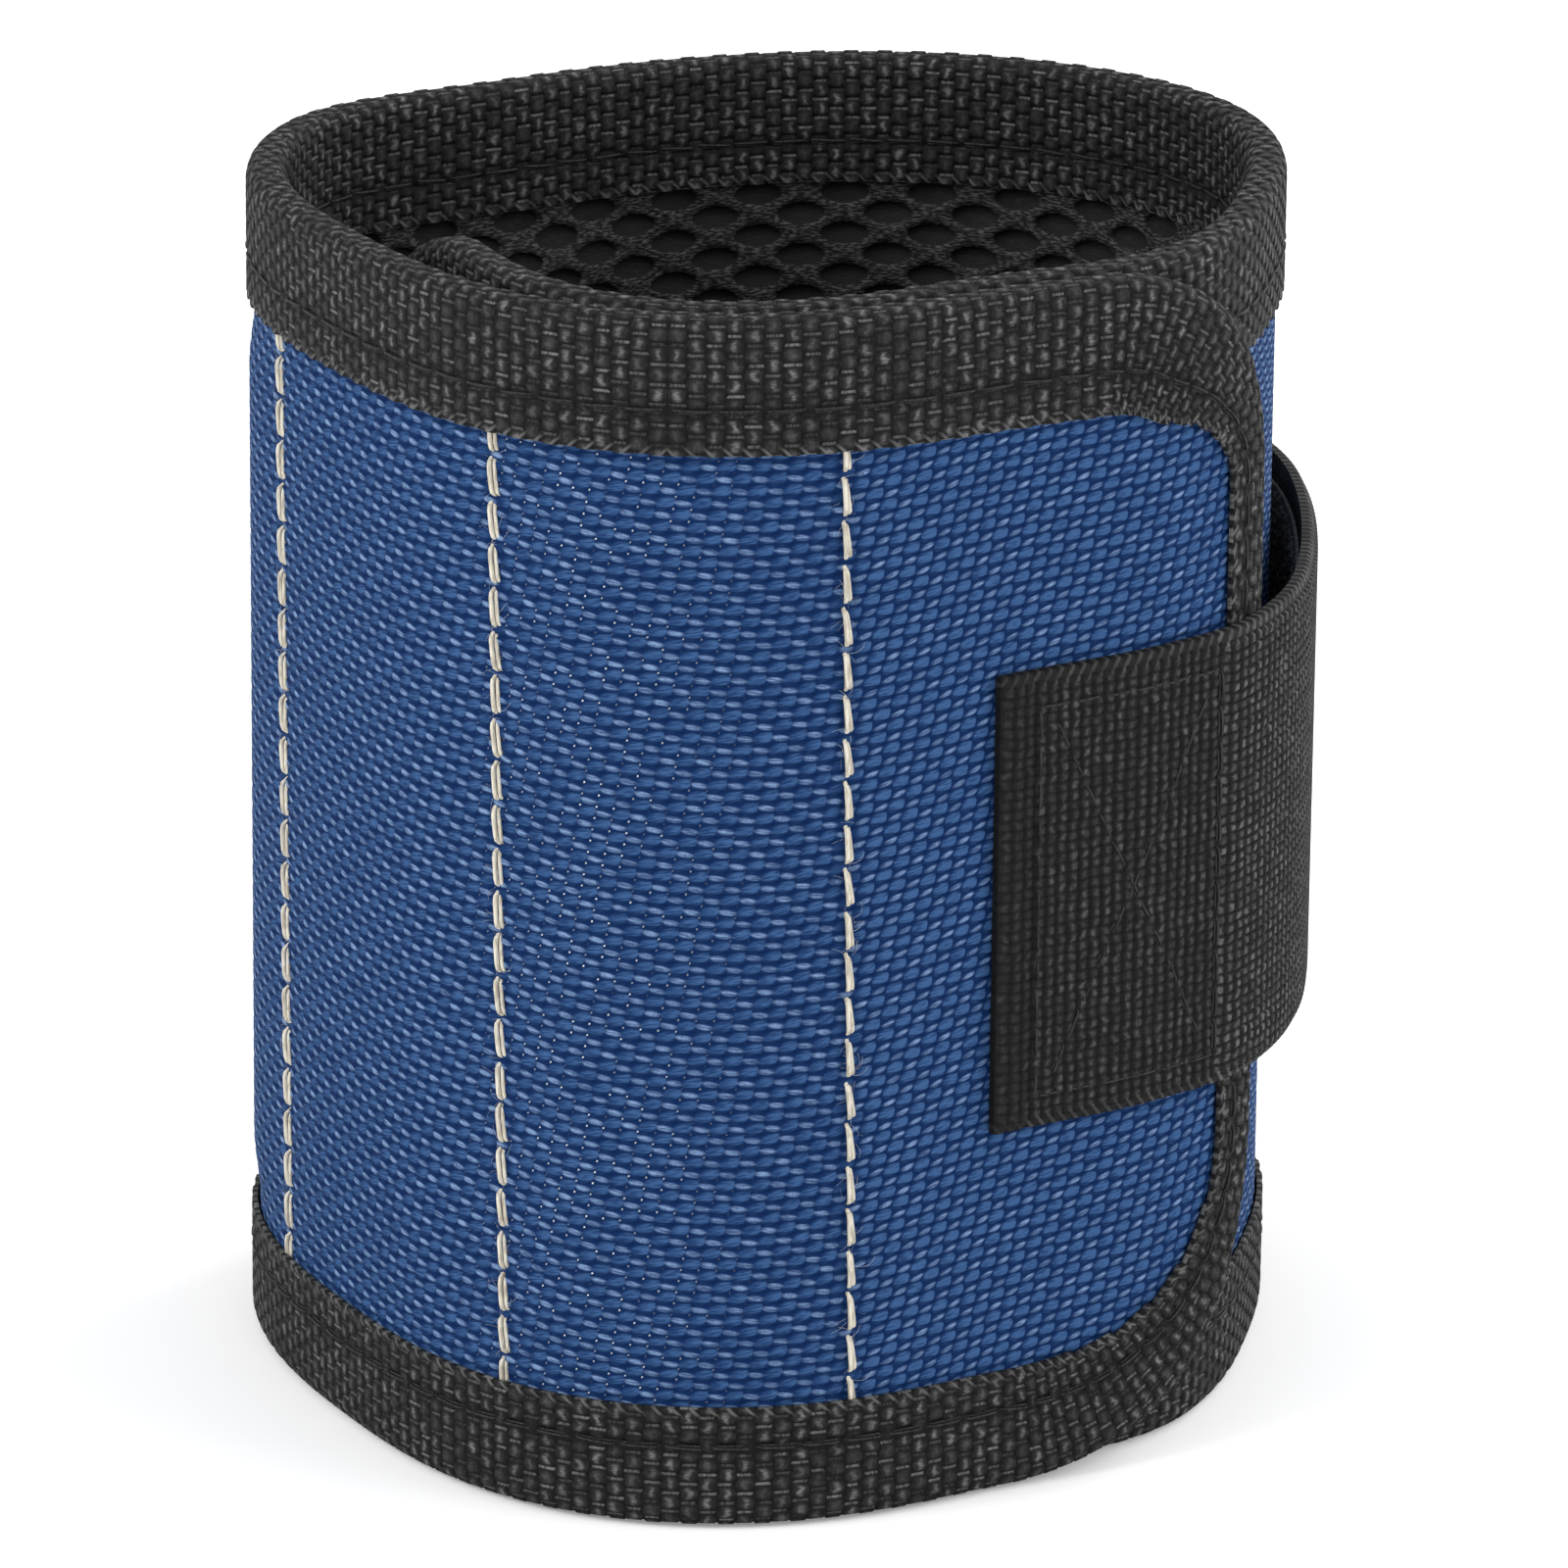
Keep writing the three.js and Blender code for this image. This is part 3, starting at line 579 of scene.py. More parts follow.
POCKET_LOW, POCKET_HIGH = TAPE_LEG_BOTTOM + POCKET_EASE, BAND_HEIGHT - TAPE_LEG_TOP - POCKET_EASE
back_middle = (section_starts[4] + section_ends[4]) / 2
sewn_lines = np.sort(np.append(seam_places[:6], back_middle))
magnet_pockets = list(zip(sewn_lines[:4], sewn_lines[1:5]))


def pocket_shares(t, z):
    """For each magnet pocket: how far its cloth swells, and its share of that at each place."""
    for start, end in magnet_pockets:
        middle, half = (start + end) / 2, (end - start) / 2
        places = middle + POCKET_LEVEL * np.array([-1, 0, 1, 0])
        left, centre, far, out = band.at(places, np.array([0, 0, 0, 1]), 0)
        bow = np.dot(centre - (left + far) / 2, out - centre)
        seat = LINING_OUTER - LINING_RECESS + CLEARANCE + max(0, -bow)
        swell = max(POCKET_FULLNESS, seat + MAGNET_THICKNESS + max(0, bow) + CLEARANCE - CLOTH_INNER)
        across = (half - np.abs(t - middle)) / (half - POCKET_LEVEL)
        rise = np.minimum(z - POCKET_LOW, POCKET_HIGH - z) / POCKET_SLOPE
        yield swell, smooth(across) * smooth(rise)


def cloth_swell(t, z):
    return sum(swell * share for swell, share in pocket_shares(t, z))


def magnet_share(t, z):
    return sum(share for _, share in pocket_shares(t, z))


def inside_strip(t, z, inset):
    """Whether a place lies within the strip's rounded outline, set in from its edge."""
    from_end = np.minimum(t, BAND_LENGTH - t) - inset

    def cut(corner):
        radius = corner - inset
        return radius - np.sqrt(np.clip(radius ** 2 - np.clip(radius - from_end, 0, None) ** 2, 0, None))

    low, high = inset + cut(CORNER_BOTTOM), BAND_HEIGHT - inset - cut(CORNER_TOP)
    return (from_end >= 0) & (z >= low) & (z <= high)


front_swell = cloth_swell(cuts[1:2], np.array([BAND_HEIGHT / 2]))[0]
print("swell over the front magnets", round(float(front_swell) / MM, 2), "mm")

# %% Cloth on its threads
WARP_PITCH, WEFT_PITCH, WARP_LEAN = 1.227 * MM, 0.856 * MM, 0.18
CLOTH_PARTS = ((0, 0.2, 0.8), (0, 0.2, 0.8))
ROW_GAP, COLUMN_GAP, WARP_SINK = 0.20 * MM, 0.08 * MM, 0.03 * MM
SEAM_DIP, SEAM_REACH, SEAM_LEAN = 0.12 * MM, 1.0 * MM, 0.017
LEAN_SPARE = 9 * MM


def crest_edge(share):
    """1 at the edge of a crossing, 0 on its rounded top."""
    return np.abs(2 * (share % 1) - 1) ** 4


def seam_line(line, z):
    """Where a sewn line crosses the strip at a height; the lines lean a little."""
    return line + SEAM_LEAN * (z - BAND_HEIGHT / 2)


def seam_share(t, z):
    return sum(np.exp(-((t - seam_line(line, z)) / SEAM_REACH) ** 2) for line in sewn_lines)


class Cloth:
    """The outer cloth, placed by thread numbers."""

    def spot(self, u, v):
        z = v * WEFT_PITCH
        return u * WARP_PITCH - WARP_LEAN * z, z

    def front(self, u, v):
        t, z = self.spot(u, v)
        warp_up = (np.floor(u) + np.floor(v)) % 2
        sink = ROW_GAP * crest_edge(v) + COLUMN_GAP * crest_edge(u) + WARP_SINK * warp_up
        return band.at(t, CLOTH_OUTER + cloth_swell(t, z) - sink - SEAM_DIP * seam_share(t, z), z)

    def back(self, u, v):
        t, z = self.spot(u, v)
        return band.at(t, CLOTH_INNER + cloth_swell(t, z), z)

    def inside(self, u, v):
        return inside_strip(*self.spot(u, v), FIELD_INSET)

    def share(self, u, v):
        """How near a sewn line is, and the distance along the strip in millimetres."""
        t, z = self.spot(u, v)
        return np.stack([seam_share(t, z), t / MM], -1)

    def column_at(self, t):
        return round((t + WARP_LEAN * BAND_HEIGHT / 2) / WARP_PITCH)


# %% Cloth panels
cloth = Cloth()
cloth_rows = (math.ceil(FIELD_INSET / WEFT_PITCH), math.floor((BAND_HEIGHT - FIELD_INSET) / WEFT_PITCH))
cloth_columns = [0] + [cloth.column_at(place) for place in [*cuts[1:-1], BAND_LENGTH + LEAN_SPARE]]
stretches = list(zip(section_names[:-1], section_names[1:], seam_places))
cloth_panels = []
for index, (first, second, seam) in enumerate(stretches):
    name, columns = f"panel_{first}_to_{second}", cloth_columns[index:index + 2]
    panel = woven_layer(name, columns, cloth_rows, CLOTH_PARTS, cloth, cloth_finish)
    bend_over(panel, first, second, band, seam)
    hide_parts(f"cloth_{first}", f"cloth_{second}")
    cloth_panels.append(panel)
print("cloth panels", [len(panel.data.polygons) for panel in cloth_panels])

# %% [markdown]
# ## Binding tape
#
# A folded tape hides the raw edges of the cloth and the mesh: it goes down the outside, over the rim and down
# the inside. It is a coarse black tape whose warp floats stand up as small blocks, with a thin weft stroke
# between two blocks, and neighbouring columns are half a step apart. So the rim shows one bump in every two
# columns.
# The tape could be swept as a curve bevel, but then its threads would not follow the rounded corners.

# %% Tape finish
# The gap colour is painted shade, between the blocks and in the sewn groove.
TAPE_GAP_SHADE = (0.0048, 0.0048, 0.0051, 1)
TAPE_BLOB = (0.019, 0.019, 0.0195, 1)
# The streak colour is a painted sheen highlight on the black threads.
TAPE_SHEEN_STREAK = (0.165, 0.165, 0.163, 1)

tape_finish, tree, shader = new_finish("black_binding_tape", {"Specular IOR Level": 0.12})
u, v, column, _, in_u, _ = thread_grid(tree)
from_groove, from_edge = lattice_map(tree, "place")
steps = v * 0.5 + column % 2.0 * 0.5
sway = fibres(u, v, 0.9, 1.1).fade(0.3, 0.7, -0.13, 0.13)
off_u = abs(in_u - 0.5 + sway)
off_step = off_middle(steps.reckon("FRACT"))
from_stroke = 0.5 - off_step
bar_luck = chance(column, steps.reckon("FLOOR"))
stroke_luck = chance(steps.reckon("ROUND"), column)
upright_lines = fibres(u, v, 8.0, 1.6)
level_lines = fibres(u, v, 2.4, 8.0)
patchy_strokes = fibres(u, v, 0.35, 0.3, 3.0)
blob = oval(off_u, off_step, 0.62, 0.46).fade(0.40, 1.0)
# The bars, strokes and edge loops are painted sheen highlights on the black threads, made patchy by noise.
bar = (
    off_u.fade(0.02, 0.25) * off_step.fade(0.10, 0.38)
    * level_lines.fade(0.34, 0.62, 0.35, 1.1) * bar_luck.fade(0.0, 1.0, 0.15, 1.0))
stroke = (
    from_stroke.fade(0.02, 0.11) * off_u.fade(0.30, 0.48)
    * upright_lines.fade(0.34, 0.60, 0.35, 1.1) * stroke_luck.fade(0.0, 1.0, 0.2, 1.0))
off_loop = off_middle((u + from_edge * 0.8).reckon("FRACT"))
loops = from_edge.fade(0.35, 0.9) * off_loop.fade(0.05, 0.18) * 0.6
bright = bar.reckon("MAXIMUM", stroke).reckon("MAXIMUM", loops) * patchy_strokes.fade(0.35, 0.65, 0.6, 1.1)
# The tape is painted darker along its sewn groove, as shade in the dip.
groove = abs(from_groove).fade(0.25, 0.75)
colour = mix_colour(blob * upright_lines.fade(0.3, 0.7, 0.5, 1.3), TAPE_GAP_SHADE, TAPE_BLOB)
colour = mix_colour(bright, colour, TAPE_SHEEN_STREAK)
colour = mix_colour(groove * level_lines.fade(0.4, 0.65, 0.95, 0.6), colour, TAPE_GAP_SHADE)
roughness = upright_lines.fade(0.3, 0.7, 0.75, 0.55)
join_surface(tree, shader, colour, roughness, upright_lines, 0.6, 0.12 * MM)
print("tape finish", len(tree.nodes), "nodes")

# %% The fold of the tape
TAPE = 0.45 * MM
TAPE_ROW, TAPE_COLUMN = 0.729 * MM, 1.30 * MM
CREST_FLAT_HALF = 0.6 * MM
BLOCK_RISE, COLUMN_DIP, DEEPEST_GAP = 0.22 * MM, 0.10 * MM, 0.28 * MM
BLOCK_ROUNDING, NOTCH_FROM, COLUMN_EDGE_FROM = 0.25, 0.72, 0.7
TAPE_PARTS = ((0, 0.13, 0.87), (0, 0.16, 0.5, 0.84))
TAPE_SEAM_SHARE, TAPE_SEAM_DIP, TAPE_SEAM_REACH = 0.67, 0.12 * MM, 0.45 * MM
LEG_END_EASE, LEAST_ROW = 0.15 * MM, 0.25 * MM
SHOULDER_STEPS = 41

shoulder = np.linspace(0, np.pi / 2, SHOULDER_STEPS)
shoulder_path = np.stack([CREST_HALF * (1 - np.cos(shoulder)),
                          CREST_FLAT_HALF + (CREST_HALF - CREST_FLAT_HALF) * np.sin(shoulder)], -1)
shoulder_walk = CREST_FLAT_HALF + np.concatenate(
    [[0], np.cumsum(np.linalg.norm(np.diff(shoulder_path, axis=0), axis=1))])


def tape_fold(v, leg):
    """Depth from the strip's edge, offset, and outward way, at a row counted from the middle of the rim."""
    side, walk = np.where(v < 0, -1.0, 1.0), np.abs(v) * TAPE_ROW
    turn = np.interp(walk, shoulder_walk, shoulder)
    depth = np.interp(walk, shoulder_walk, shoulder_path[:, 0]) + np.maximum(0, walk - shoulder_walk[-1])
    over = np.maximum(0, depth - leg + LEG_END_EASE)
    depth = np.where(over > 0, leg - LEG_END_EASE * np.exp(-over / LEG_END_EASE), depth)
    reach = np.where(walk < CREST_FLAT_HALF, walk, np.interp(walk, shoulder_walk, shoulder_path[:, 1]))
    return depth, CREST_MIDDLE + side * reach, -np.cos(turn), side * np.sin(turn)


def tape_sink(u, v, depth, leg):
    """How far the tape's face lies below the tops of its blocks."""
    step = np.abs(2 * ((v / 2 + 0.5 * (np.floor(u) % 2)) % 1) - 1)
    side = np.abs(2 * (u % 1) - 1)
    notch = smooth((step - NOTCH_FROM) / (1 - NOTCH_FROM))
    sink = BLOCK_RISE * (BLOCK_ROUNDING * step ** 2 + (1 - BLOCK_ROUNDING) * notch)
    sink = sink + COLUMN_DIP * smooth((side - COLUMN_EDGE_FROM) / (1 - COLUMN_EDGE_FROM))
    from_seam = (depth - TAPE_SEAM_SHARE * leg) / TAPE_SEAM_REACH
    return np.minimum(sink, DEEPEST_GAP) + TAPE_SEAM_DIP * np.exp(-from_seam ** 2)


# %% The way the tape runs round the strip
def straight_edge(start, end, z, inward, leg):
    """Stations along a straight stretch: distance, height, inward way and leg length."""
    return np.array([[start, z, 0, inward, leg], [end, z, 0, inward, leg]])


NARROWS_FROM, CORNER_STEPS = 0.3, 61


def end_edge(reach, flipped):
    """Stations along the top, round both rounded corners of an end and back along the bottom."""
    share = np.linspace(0, 1, CORNER_STEPS)

    def corner(radius, middle, start, first_leg, last_leg, narrows_from=0.0):
        turn = start + share * np.pi / 2
        out_t, out_z = np.cos(turn), np.sin(turn)
        leg = first_leg + (last_leg - first_leg) * smooth((share - narrows_from) / (1 - narrows_from))
        return np.stack([radius * (1 + out_t), middle + radius * out_z, -out_t, -out_z, leg], -1)

    path = np.concatenate([
        straight_edge(reach, CORNER_TOP, BAND_HEIGHT, -1, TAPE_LEG_TOP)[:1],
        corner(CORNER_TOP, BAND_HEIGHT - CORNER_TOP, np.pi / 2, TAPE_LEG_TOP, TAPE_LEG_END, NARROWS_FROM),
        corner(CORNER_BOTTOM, CORNER_BOTTOM, np.pi, TAPE_LEG_END, TAPE_LEG_BOTTOM),
        straight_edge(CORNER_BOTTOM, reach, 0, 1, TAPE_LEG_BOTTOM)[1:],
    ])
    if flipped:
        path[:, 0], path[:, 2] = BAND_LENGTH - path[:, 0], -path[:, 2]
    return path


class TapeRun:
    """A stretch of tape along stations on the strip's edge, with a whole number of column pairs."""

    def __init__(self, path):
        self.path = path
        steps = np.linalg.norm(np.diff(path[:, :2], axis=0), axis=1)
        self.walked = np.concatenate([[0], np.cumsum(steps)])
        self.length = self.walked[-1]
        self.columns = 2 * round(self.length / TAPE_COLUMN / 2)
        self.rows = math.ceil((path[:, 4].max() - CREST_HALF + shoulder_walk[-1]) / TAPE_ROW)
        self.ways = np.sign(path[1, 0] - path[0, 0]), np.sign(path[-1, 0] - path[-2, 0])

    def station(self, along):
        """Distance, height, inward way and leg length; beyond its ends the run goes straight on."""
        t, *rest = [np.interp(along, self.walked, self.path[:, k]) for k in range(5)]
        before, after = np.minimum(along, 0), np.maximum(along - self.length, 0)
        return [t + self.ways[0] * before + self.ways[1] * after, *rest]

    def along(self, u):
        return u * self.length / self.columns

    def place(self, along, depth, offset):
        t, z, in_t, in_z, _ = self.station(along)
        return band.at(t + in_t * depth, offset, z + in_z * depth)

    def face(self, u, v, sunk):
        leg = self.station(self.along(u))[4]
        depth, offset, out_depth, out_offset = tape_fold(v, leg)
        sink = sunk if sunk is not None else tape_sink(u, v, depth, leg)
        return self.place(self.along(u), depth - sink * out_depth, offset - sink * out_offset)

    def front(self, u, v):
        return self.face(u, v, None)

    def back(self, u, v):
        return self.face(u, v, TAPE)

    def inside(self, u, v):
        leg = self.station(self.along(u))[4]
        return (np.abs(v) - 1) * TAPE_ROW < leg - CREST_HALF + shoulder_walk[-1] - LEAST_ROW

    def share(self, u, v):
        leg = self.station(self.along(u))[4]
        depth = tape_fold(v, leg)[0]
        return np.stack([depth - TAPE_SEAM_SHARE * leg, leg - depth], -1) / MM


# %% Binding pieces
tape_runs = {}
for index, (first, second, seam) in enumerate(stretches):
    start, end = cuts[index], cuts[index + 1]
    if index in (0, len(stretches) - 1):
        paths = {f"tape_end_{first if index == 0 else second}": end_edge(end - start, index > 0)}
    else:
        paths = {f"tape_top_{first}_to_{second}": straight_edge(start, end, BAND_HEIGHT, -1, TAPE_LEG_TOP),
                 f"tape_bottom_{first}_to_{second}": straight_edge(start, end, 0, 1, TAPE_LEG_BOTTOM)}
    tape_runs.update({name: (index, TapeRun(path)) for name, path in paths.items()})

tape_pieces = {}
for name, (index, run) in tape_runs.items():
    first, second, seam = stretches[index]
    piece = woven_layer(name, (0, run.columns), (-run.rows, run.rows), TAPE_PARTS, run, tape_finish)
    bend_over(piece, first, second, band, seam)
    edges = ["top", "bottom"] if "end" in name else [name.split("_")[1]]
    nodes = [f"binding_{edge}_{section}" for edge in edges for section in (first, second)]
    ends = [f"binding_{section}_end" for section in (first, second)]
    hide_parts(*[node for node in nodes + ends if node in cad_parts])
    tape_pieces[name] = piece
print("tape pieces", len(tape_pieces), "faces", sum(len(p.data.polygons) for p in tape_pieces.values()))

# %% [markdown]
# ## Spacer mesh lining
#
# The inside is a black spacer mesh, a thick knit with rows of oval holes, each row shifted by half a step.
# Geometry Nodes suit it: one lozenge-shaped tile with a hole is placed on points, row by row, and the edges
# of the tiles are merged into one sheet. The flat sheet then gets a back and is laid on the band.

# %% Lining finish
MESH_BLACK = (0.0125, 0.0125, 0.0127, 1)
MESH_STRAND = (0.084, 0.084, 0.085, 1)
lining_finish, tree, shader = new_finish("black_spacer_mesh", {"Specular IOR Level": 0.15})
u, v = lattice_map(tree, "weave")
rise, _ = lattice_map(tree, "place")
lines = fibres(u, v, 1.7, 7.0, 3.0)
bright = lines.fade(0.45, 0.62, 0.0, 1.0) * rise.fade(-0.12, 0.0, 0.0, 1.0)
colour = mix_colour(bright, MESH_BLACK, MESH_STRAND)
join_surface(tree, shader, colour, lines.fade(0.4, 0.7, 0.8, 0.55), lines, 0.7, 0.15 * MM)
print("lining finish", len(tree.nodes), "nodes")

# %% One tile with a hole
TILE_LENGTH, TILE_HEIGHT = 7.0 * MM, 3.3 * MM
HOLE_LENGTH, HOLE_HEIGHT, HOLE_DEPTH, HOLE_TAPER = 4.0 * MM, 1.8 * MM, 0.35 * MM, 0.94
STRAND_RISE = 0.10 * MM
TILE_POINTS, TILE_CORNERS = 12, (0, 3, 6, 9)
quarter = np.arange(TILE_POINTS) / 3
lozenge = np.column_stack([np.abs(quarter - 2) - 1, np.abs((quarter + 3) % 4 - 2) - 1])
rim = lozenge * (TILE_LENGTH / 2, TILE_HEIGHT / 2)
hole = lozenge / np.linalg.norm(lozenge, axis=1, keepdims=True) * (HOLE_LENGTH / 2, HOLE_HEIGHT / 2)


def tile_object(name, rings):
    """A hidden tile for instancing: rings of points at their heights, the last ring closed by one face."""
    points = np.concatenate([np.column_stack([ring, np.full(TILE_POINTS, height)]) for ring, height in rings])
    numbers = np.arange(len(points)).reshape(-1, TILE_POINTS)
    after = np.roll(numbers, -1, axis=1)
    slopes = np.stack([numbers[:-1], after[:-1], after[1:], numbers[1:]], -1).reshape(-1, 4)
    mesh = bpy.data.meshes.new(name)
    mesh.from_pydata(points.tolist(), [], slopes.tolist() + [numbers[-1].tolist()])
    mesh.shade_smooth()
    return bpy.data.objects.new(name, mesh)


mesh_tile = tile_object("mesh_tile", [(rim, STRAND_RISE), (hole, 0), (hole * HOLE_TAPER, -HOLE_DEPTH)])
print("tile", len(mesh_tile.data.polygons), "faces")

# %% Helpers for geometry trees
def new_tree(name, inputs):
    """A geometry node group with named inputs, after the geometry that comes in."""
    tree = bpy.data.node_groups.new(name, "GeometryNodeTree")
    tree.interface.new_socket("Geometry", in_out="INPUT", socket_type="NodeSocketGeometry")
    for title, kind in inputs.items():
        tree.interface.new_socket(title, in_out="INPUT", socket_type=f"NodeSocket{kind}")
    tree.interface.new_socket("Geometry", in_out="OUTPUT", socket_type="NodeSocketGeometry")
    sockets = tree.nodes.new("NodeGroupInput").outputs
    given = {title: Wire(sockets[title]) for title in ("Geometry", *inputs)}
    return tree, given, tree.nodes.new("NodeGroupOutput")


def finish_tree(tree, geometry, material, result):
    """Ends a tree: the instances become real faces and take their finish."""
    real = add_node(tree, "GeometryNodeRealizeInstances", {0: geometry})
    painted = add_node(tree, "GeometryNodeSetMaterial", {"Geometry": real.outputs[0], "Material": material})
    tree.links.new(painted.outputs[0], result.inputs[0])
    return tree


def random_number(tree, low, high, seed):
    """A seeded random number for every point."""
    numbers = {2: low, 3: high, "Seed": seed}
    return Wire(add_node(tree, "FunctionNodeRandomValue", numbers, data_type="FLOAT").outputs[1])


def thread_along(tree, curve, sides, radius):
    """A thread with closed ends along a curve."""
    ring = add_node(tree, "GeometryNodeCurvePrimitiveCircle", {"Resolution": sides, "Radius": radius})
    return add_node(tree, "GeometryNodeCurveToMesh", {
        "Curve": curve, "Profile Curve": ring.outputs[0], "Fill Caps": True}).outputs[0]


def joined(tree, *shapes):
    joining = add_node(tree, "GeometryNodeJoinGeometry")
    for shape in shapes:
        tree.links.new(shape, joining.inputs[0])
    return joining.outputs[0]


def on_points(tree, points, shape, angle, scale=(1.0, 1.0, 1.0)):
    """The shape on every point, turned by an angle about the upright."""
    turn = add_node(tree, "ShaderNodeCombineXYZ", {2: angle})
    return add_node(tree, "GeometryNodeInstanceOnPoints", {
        "Points": points, "Instance": shape, "Rotation": turn.outputs[0], "Scale": scale}).outputs[0]


def grow(name, tree, points, attributes, settings):
    """Runs a tree on loose points and gives back the plain mesh that it makes."""
    mesh = bpy.data.meshes.new(name)
    mesh.from_pydata([tuple(point) for point in points], [], [])
    for title, values in attributes.items():
        attribute = mesh.attributes.new(title, "FLOAT", "POINT")
        attribute.data.foreach_set("value", np.asarray(values, np.float32))
    seed = bpy.data.objects.new(name, mesh)
    scene.collection.objects.link(seed)
    modifier = seed.modifiers.new("tree", "NODES")
    modifier.node_group = tree
    sockets = {item.name: item.identifier for item in tree.interface.items_tree if item.in_out == "INPUT"}
    for title, value in settings.items():
        modifier[sockets[title]] = value
    made = bpy.data.meshes.new_from_object(seed.evaluated_get(bpy.context.evaluated_depsgraph_get()))
    seed.modifiers.clear()
    bpy.data.objects.remove(seed)
    return made


# %% Tree that lays the tiles
tree, given, result = new_tree("spacer_mesh", {
    "Tile": "Object", "Merge distance": "Float", "Finish": "Material"})
shape = add_node(tree, "GeometryNodeObjectInfo", {"Object": given["Tile"]})
laid = on_points(tree, given["Geometry"], shape.outputs["Geometry"], 0.0)
real = add_node(tree, "GeometryNodeRealizeInstances", {0: laid})
merged = add_node(tree, "GeometryNodeMergeByDistance", {
    "Geometry": real.outputs[0], "Distance": given["Merge distance"]})
lining_tree = finish_tree(tree, merged.outputs[0], given["Finish"], result)
print("lining tree", len(lining_tree.nodes), "nodes")

# %% Back and edge of the flat lining
SAME_SPOT, DEEPEST_SHARE = 0.03 * MM, 0.8


def closed_lining(sheet, middles):
    """Adds a back and walls to a flat sheet of tiles; gives its points, its front faces and the others."""
    points = np.array([vertex.co for vertex in sheet.vertices])
    faces = [tuple(polygon.vertices) for polygon in sheet.polygons]
    sides = {side for face in faces for side in zip(face, face[1:] + face[:1])}
    behind, backs = {}, []

    def key_of(spot):
        return round(spot[0] / SAME_SPOT), round(spot[1] / SAME_SPOT)

    def back_point(spot):
        if key_of(spot) not in behind:
            behind[key_of(spot)] = len(points) + len(backs)
            backs.append((spot[0], spot[1], LINING_INNER - LINING_OUTER))
        return behind[key_of(spot)]

    open_sides = [(a, b) for a, b in sorted(sides) if (b, a) not in sides]
    walls = [(b, a, back_point(points[a]), back_point(points[b])) for a, b in open_sides]
    edge_keys = set(behind)
    floors = []
    for middle in middles:
        around = [spot for i, spot in enumerate(middle + rim)
                  if i in TILE_CORNERS or key_of(spot) in edge_keys]
        floors.append(tuple(back_point(spot) for spot in reversed(around)))
    return np.concatenate([points, np.array(backs)]), faces, walls + floors


def lay_lining(points):
    """Lays flat points in place: length along the strip, height, and rise towards the wrist."""
    t, z, rise = points.T
    share = magnet_share(t, z)
    back_share = np.clip(-rise / (LINING_OUTER - LINING_INNER), 0, 1)
    front = LINING_INNER - LINING_SAG * share
    thickness = (LINING_OUTER - LINING_RECESS * share) - front
    depth = np.where(back_share >= 1, thickness, np.minimum(-rise, thickness * DEEPEST_SHARE))
    return band.at(t, front + depth, z)


# %% Lining pieces
MERGE_DISTANCE = 0.01 * MM


def lining_piece(index):
    """The mesh of one stretch: whole tiles inside the outline, merged, closed and laid on the band."""
    first, second, seam = stretches[index]
    half = np.array([TILE_LENGTH, TILE_HEIGHT]) / 2
    columns = np.round(cuts / half[0]).astype(int)
    across, upward = np.meshgrid(np.arange(columns[index], columns[index + 1] + (second == "tuck")),
                                 np.arange(1, math.ceil(BAND_HEIGHT / half[1])), indexing="ij")
    middles = np.stack([across, upward], -1)[(across + upward) % 2 == 0] * half
    for corner in rim[list(TILE_CORNERS)]:
        middles = middles[inside_strip(*(middles + corner).T, FIELD_INSET)]
    name = f"mesh_{first}_to_{second}"
    places = np.column_stack([middles, np.zeros(len(middles))])
    sheet = grow(f"{name}_flat", lining_tree, places, {}, {
        "Tile": mesh_tile, "Merge distance": MERGE_DISTANCE, "Finish": lining_finish})
    points, faces, hidden = closed_lining(sheet, middles)
    mesh = bpy.data.meshes.new(name)
    mesh.from_pydata(lay_lining(points).tolist(), [], faces + hidden)
    corner_of = np.zeros(len(mesh.loops), np.int32)
    mesh.loops.foreach_get("vertex_index", corner_of)
    spots = (points[corner_of] / MM).astype(np.float32)
    mesh.uv_layers.new(name="weave").data.foreach_set("uv", spots[:, :2].ravel())
    mesh.uv_layers.new(name="place").data.foreach_set("uv", spots[:, [2, 2]].ravel())
    mesh.polygons.foreach_set("use_smooth", np.arange(len(mesh.polygons)) < len(faces))
    piece = as_object(name, mesh, lining_finish)
    bend_over(piece, first, second, band, seam)
    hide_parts(f"lining_{first}", f"lining_{second}")
    return piece


lining_pieces = [lining_piece(index) for index in range(len(stretches))]
print("lining pieces", [len(piece.data.polygons) for piece in lining_pieces])

# %% [markdown]
# ## Stitches
#
# The pockets are sewn off with heavy cream thread, and the binding and the strap with black thread.
# A stitch is two strands twisted together, with both ends diving into the cloth.
# Geometry Nodes make one stitch from two spirals and place it on points along the seam, each turned a little
# by a seeded random number. The flat row is then laid on the band like the cloth.

# %% Thread finishes
GRAIN_SCALE, FIBRE_STRETCH = 5200.0, 0.15


def thread_finish(name, dark, light, roughness):
    """Spun thread: two tones of one colour, mottled finely."""
    finish, tree, shader = new_finish(name, {"Specular IOR Level": 0.25})
    grain = grain_of(tree, GRAIN_SCALE, 2.0, FIBRE_STRETCH)
    colour = mix_colour(grain.fade(0.32, 0.62, 0.0, 1.0), dark, light)
    dullness = grain.fade(0.3, 0.7, roughness + 0.1, roughness - 0.1)
    join_surface(tree, shader, colour, dullness, grain, 0.4, 0.1 * MM)
    return finish


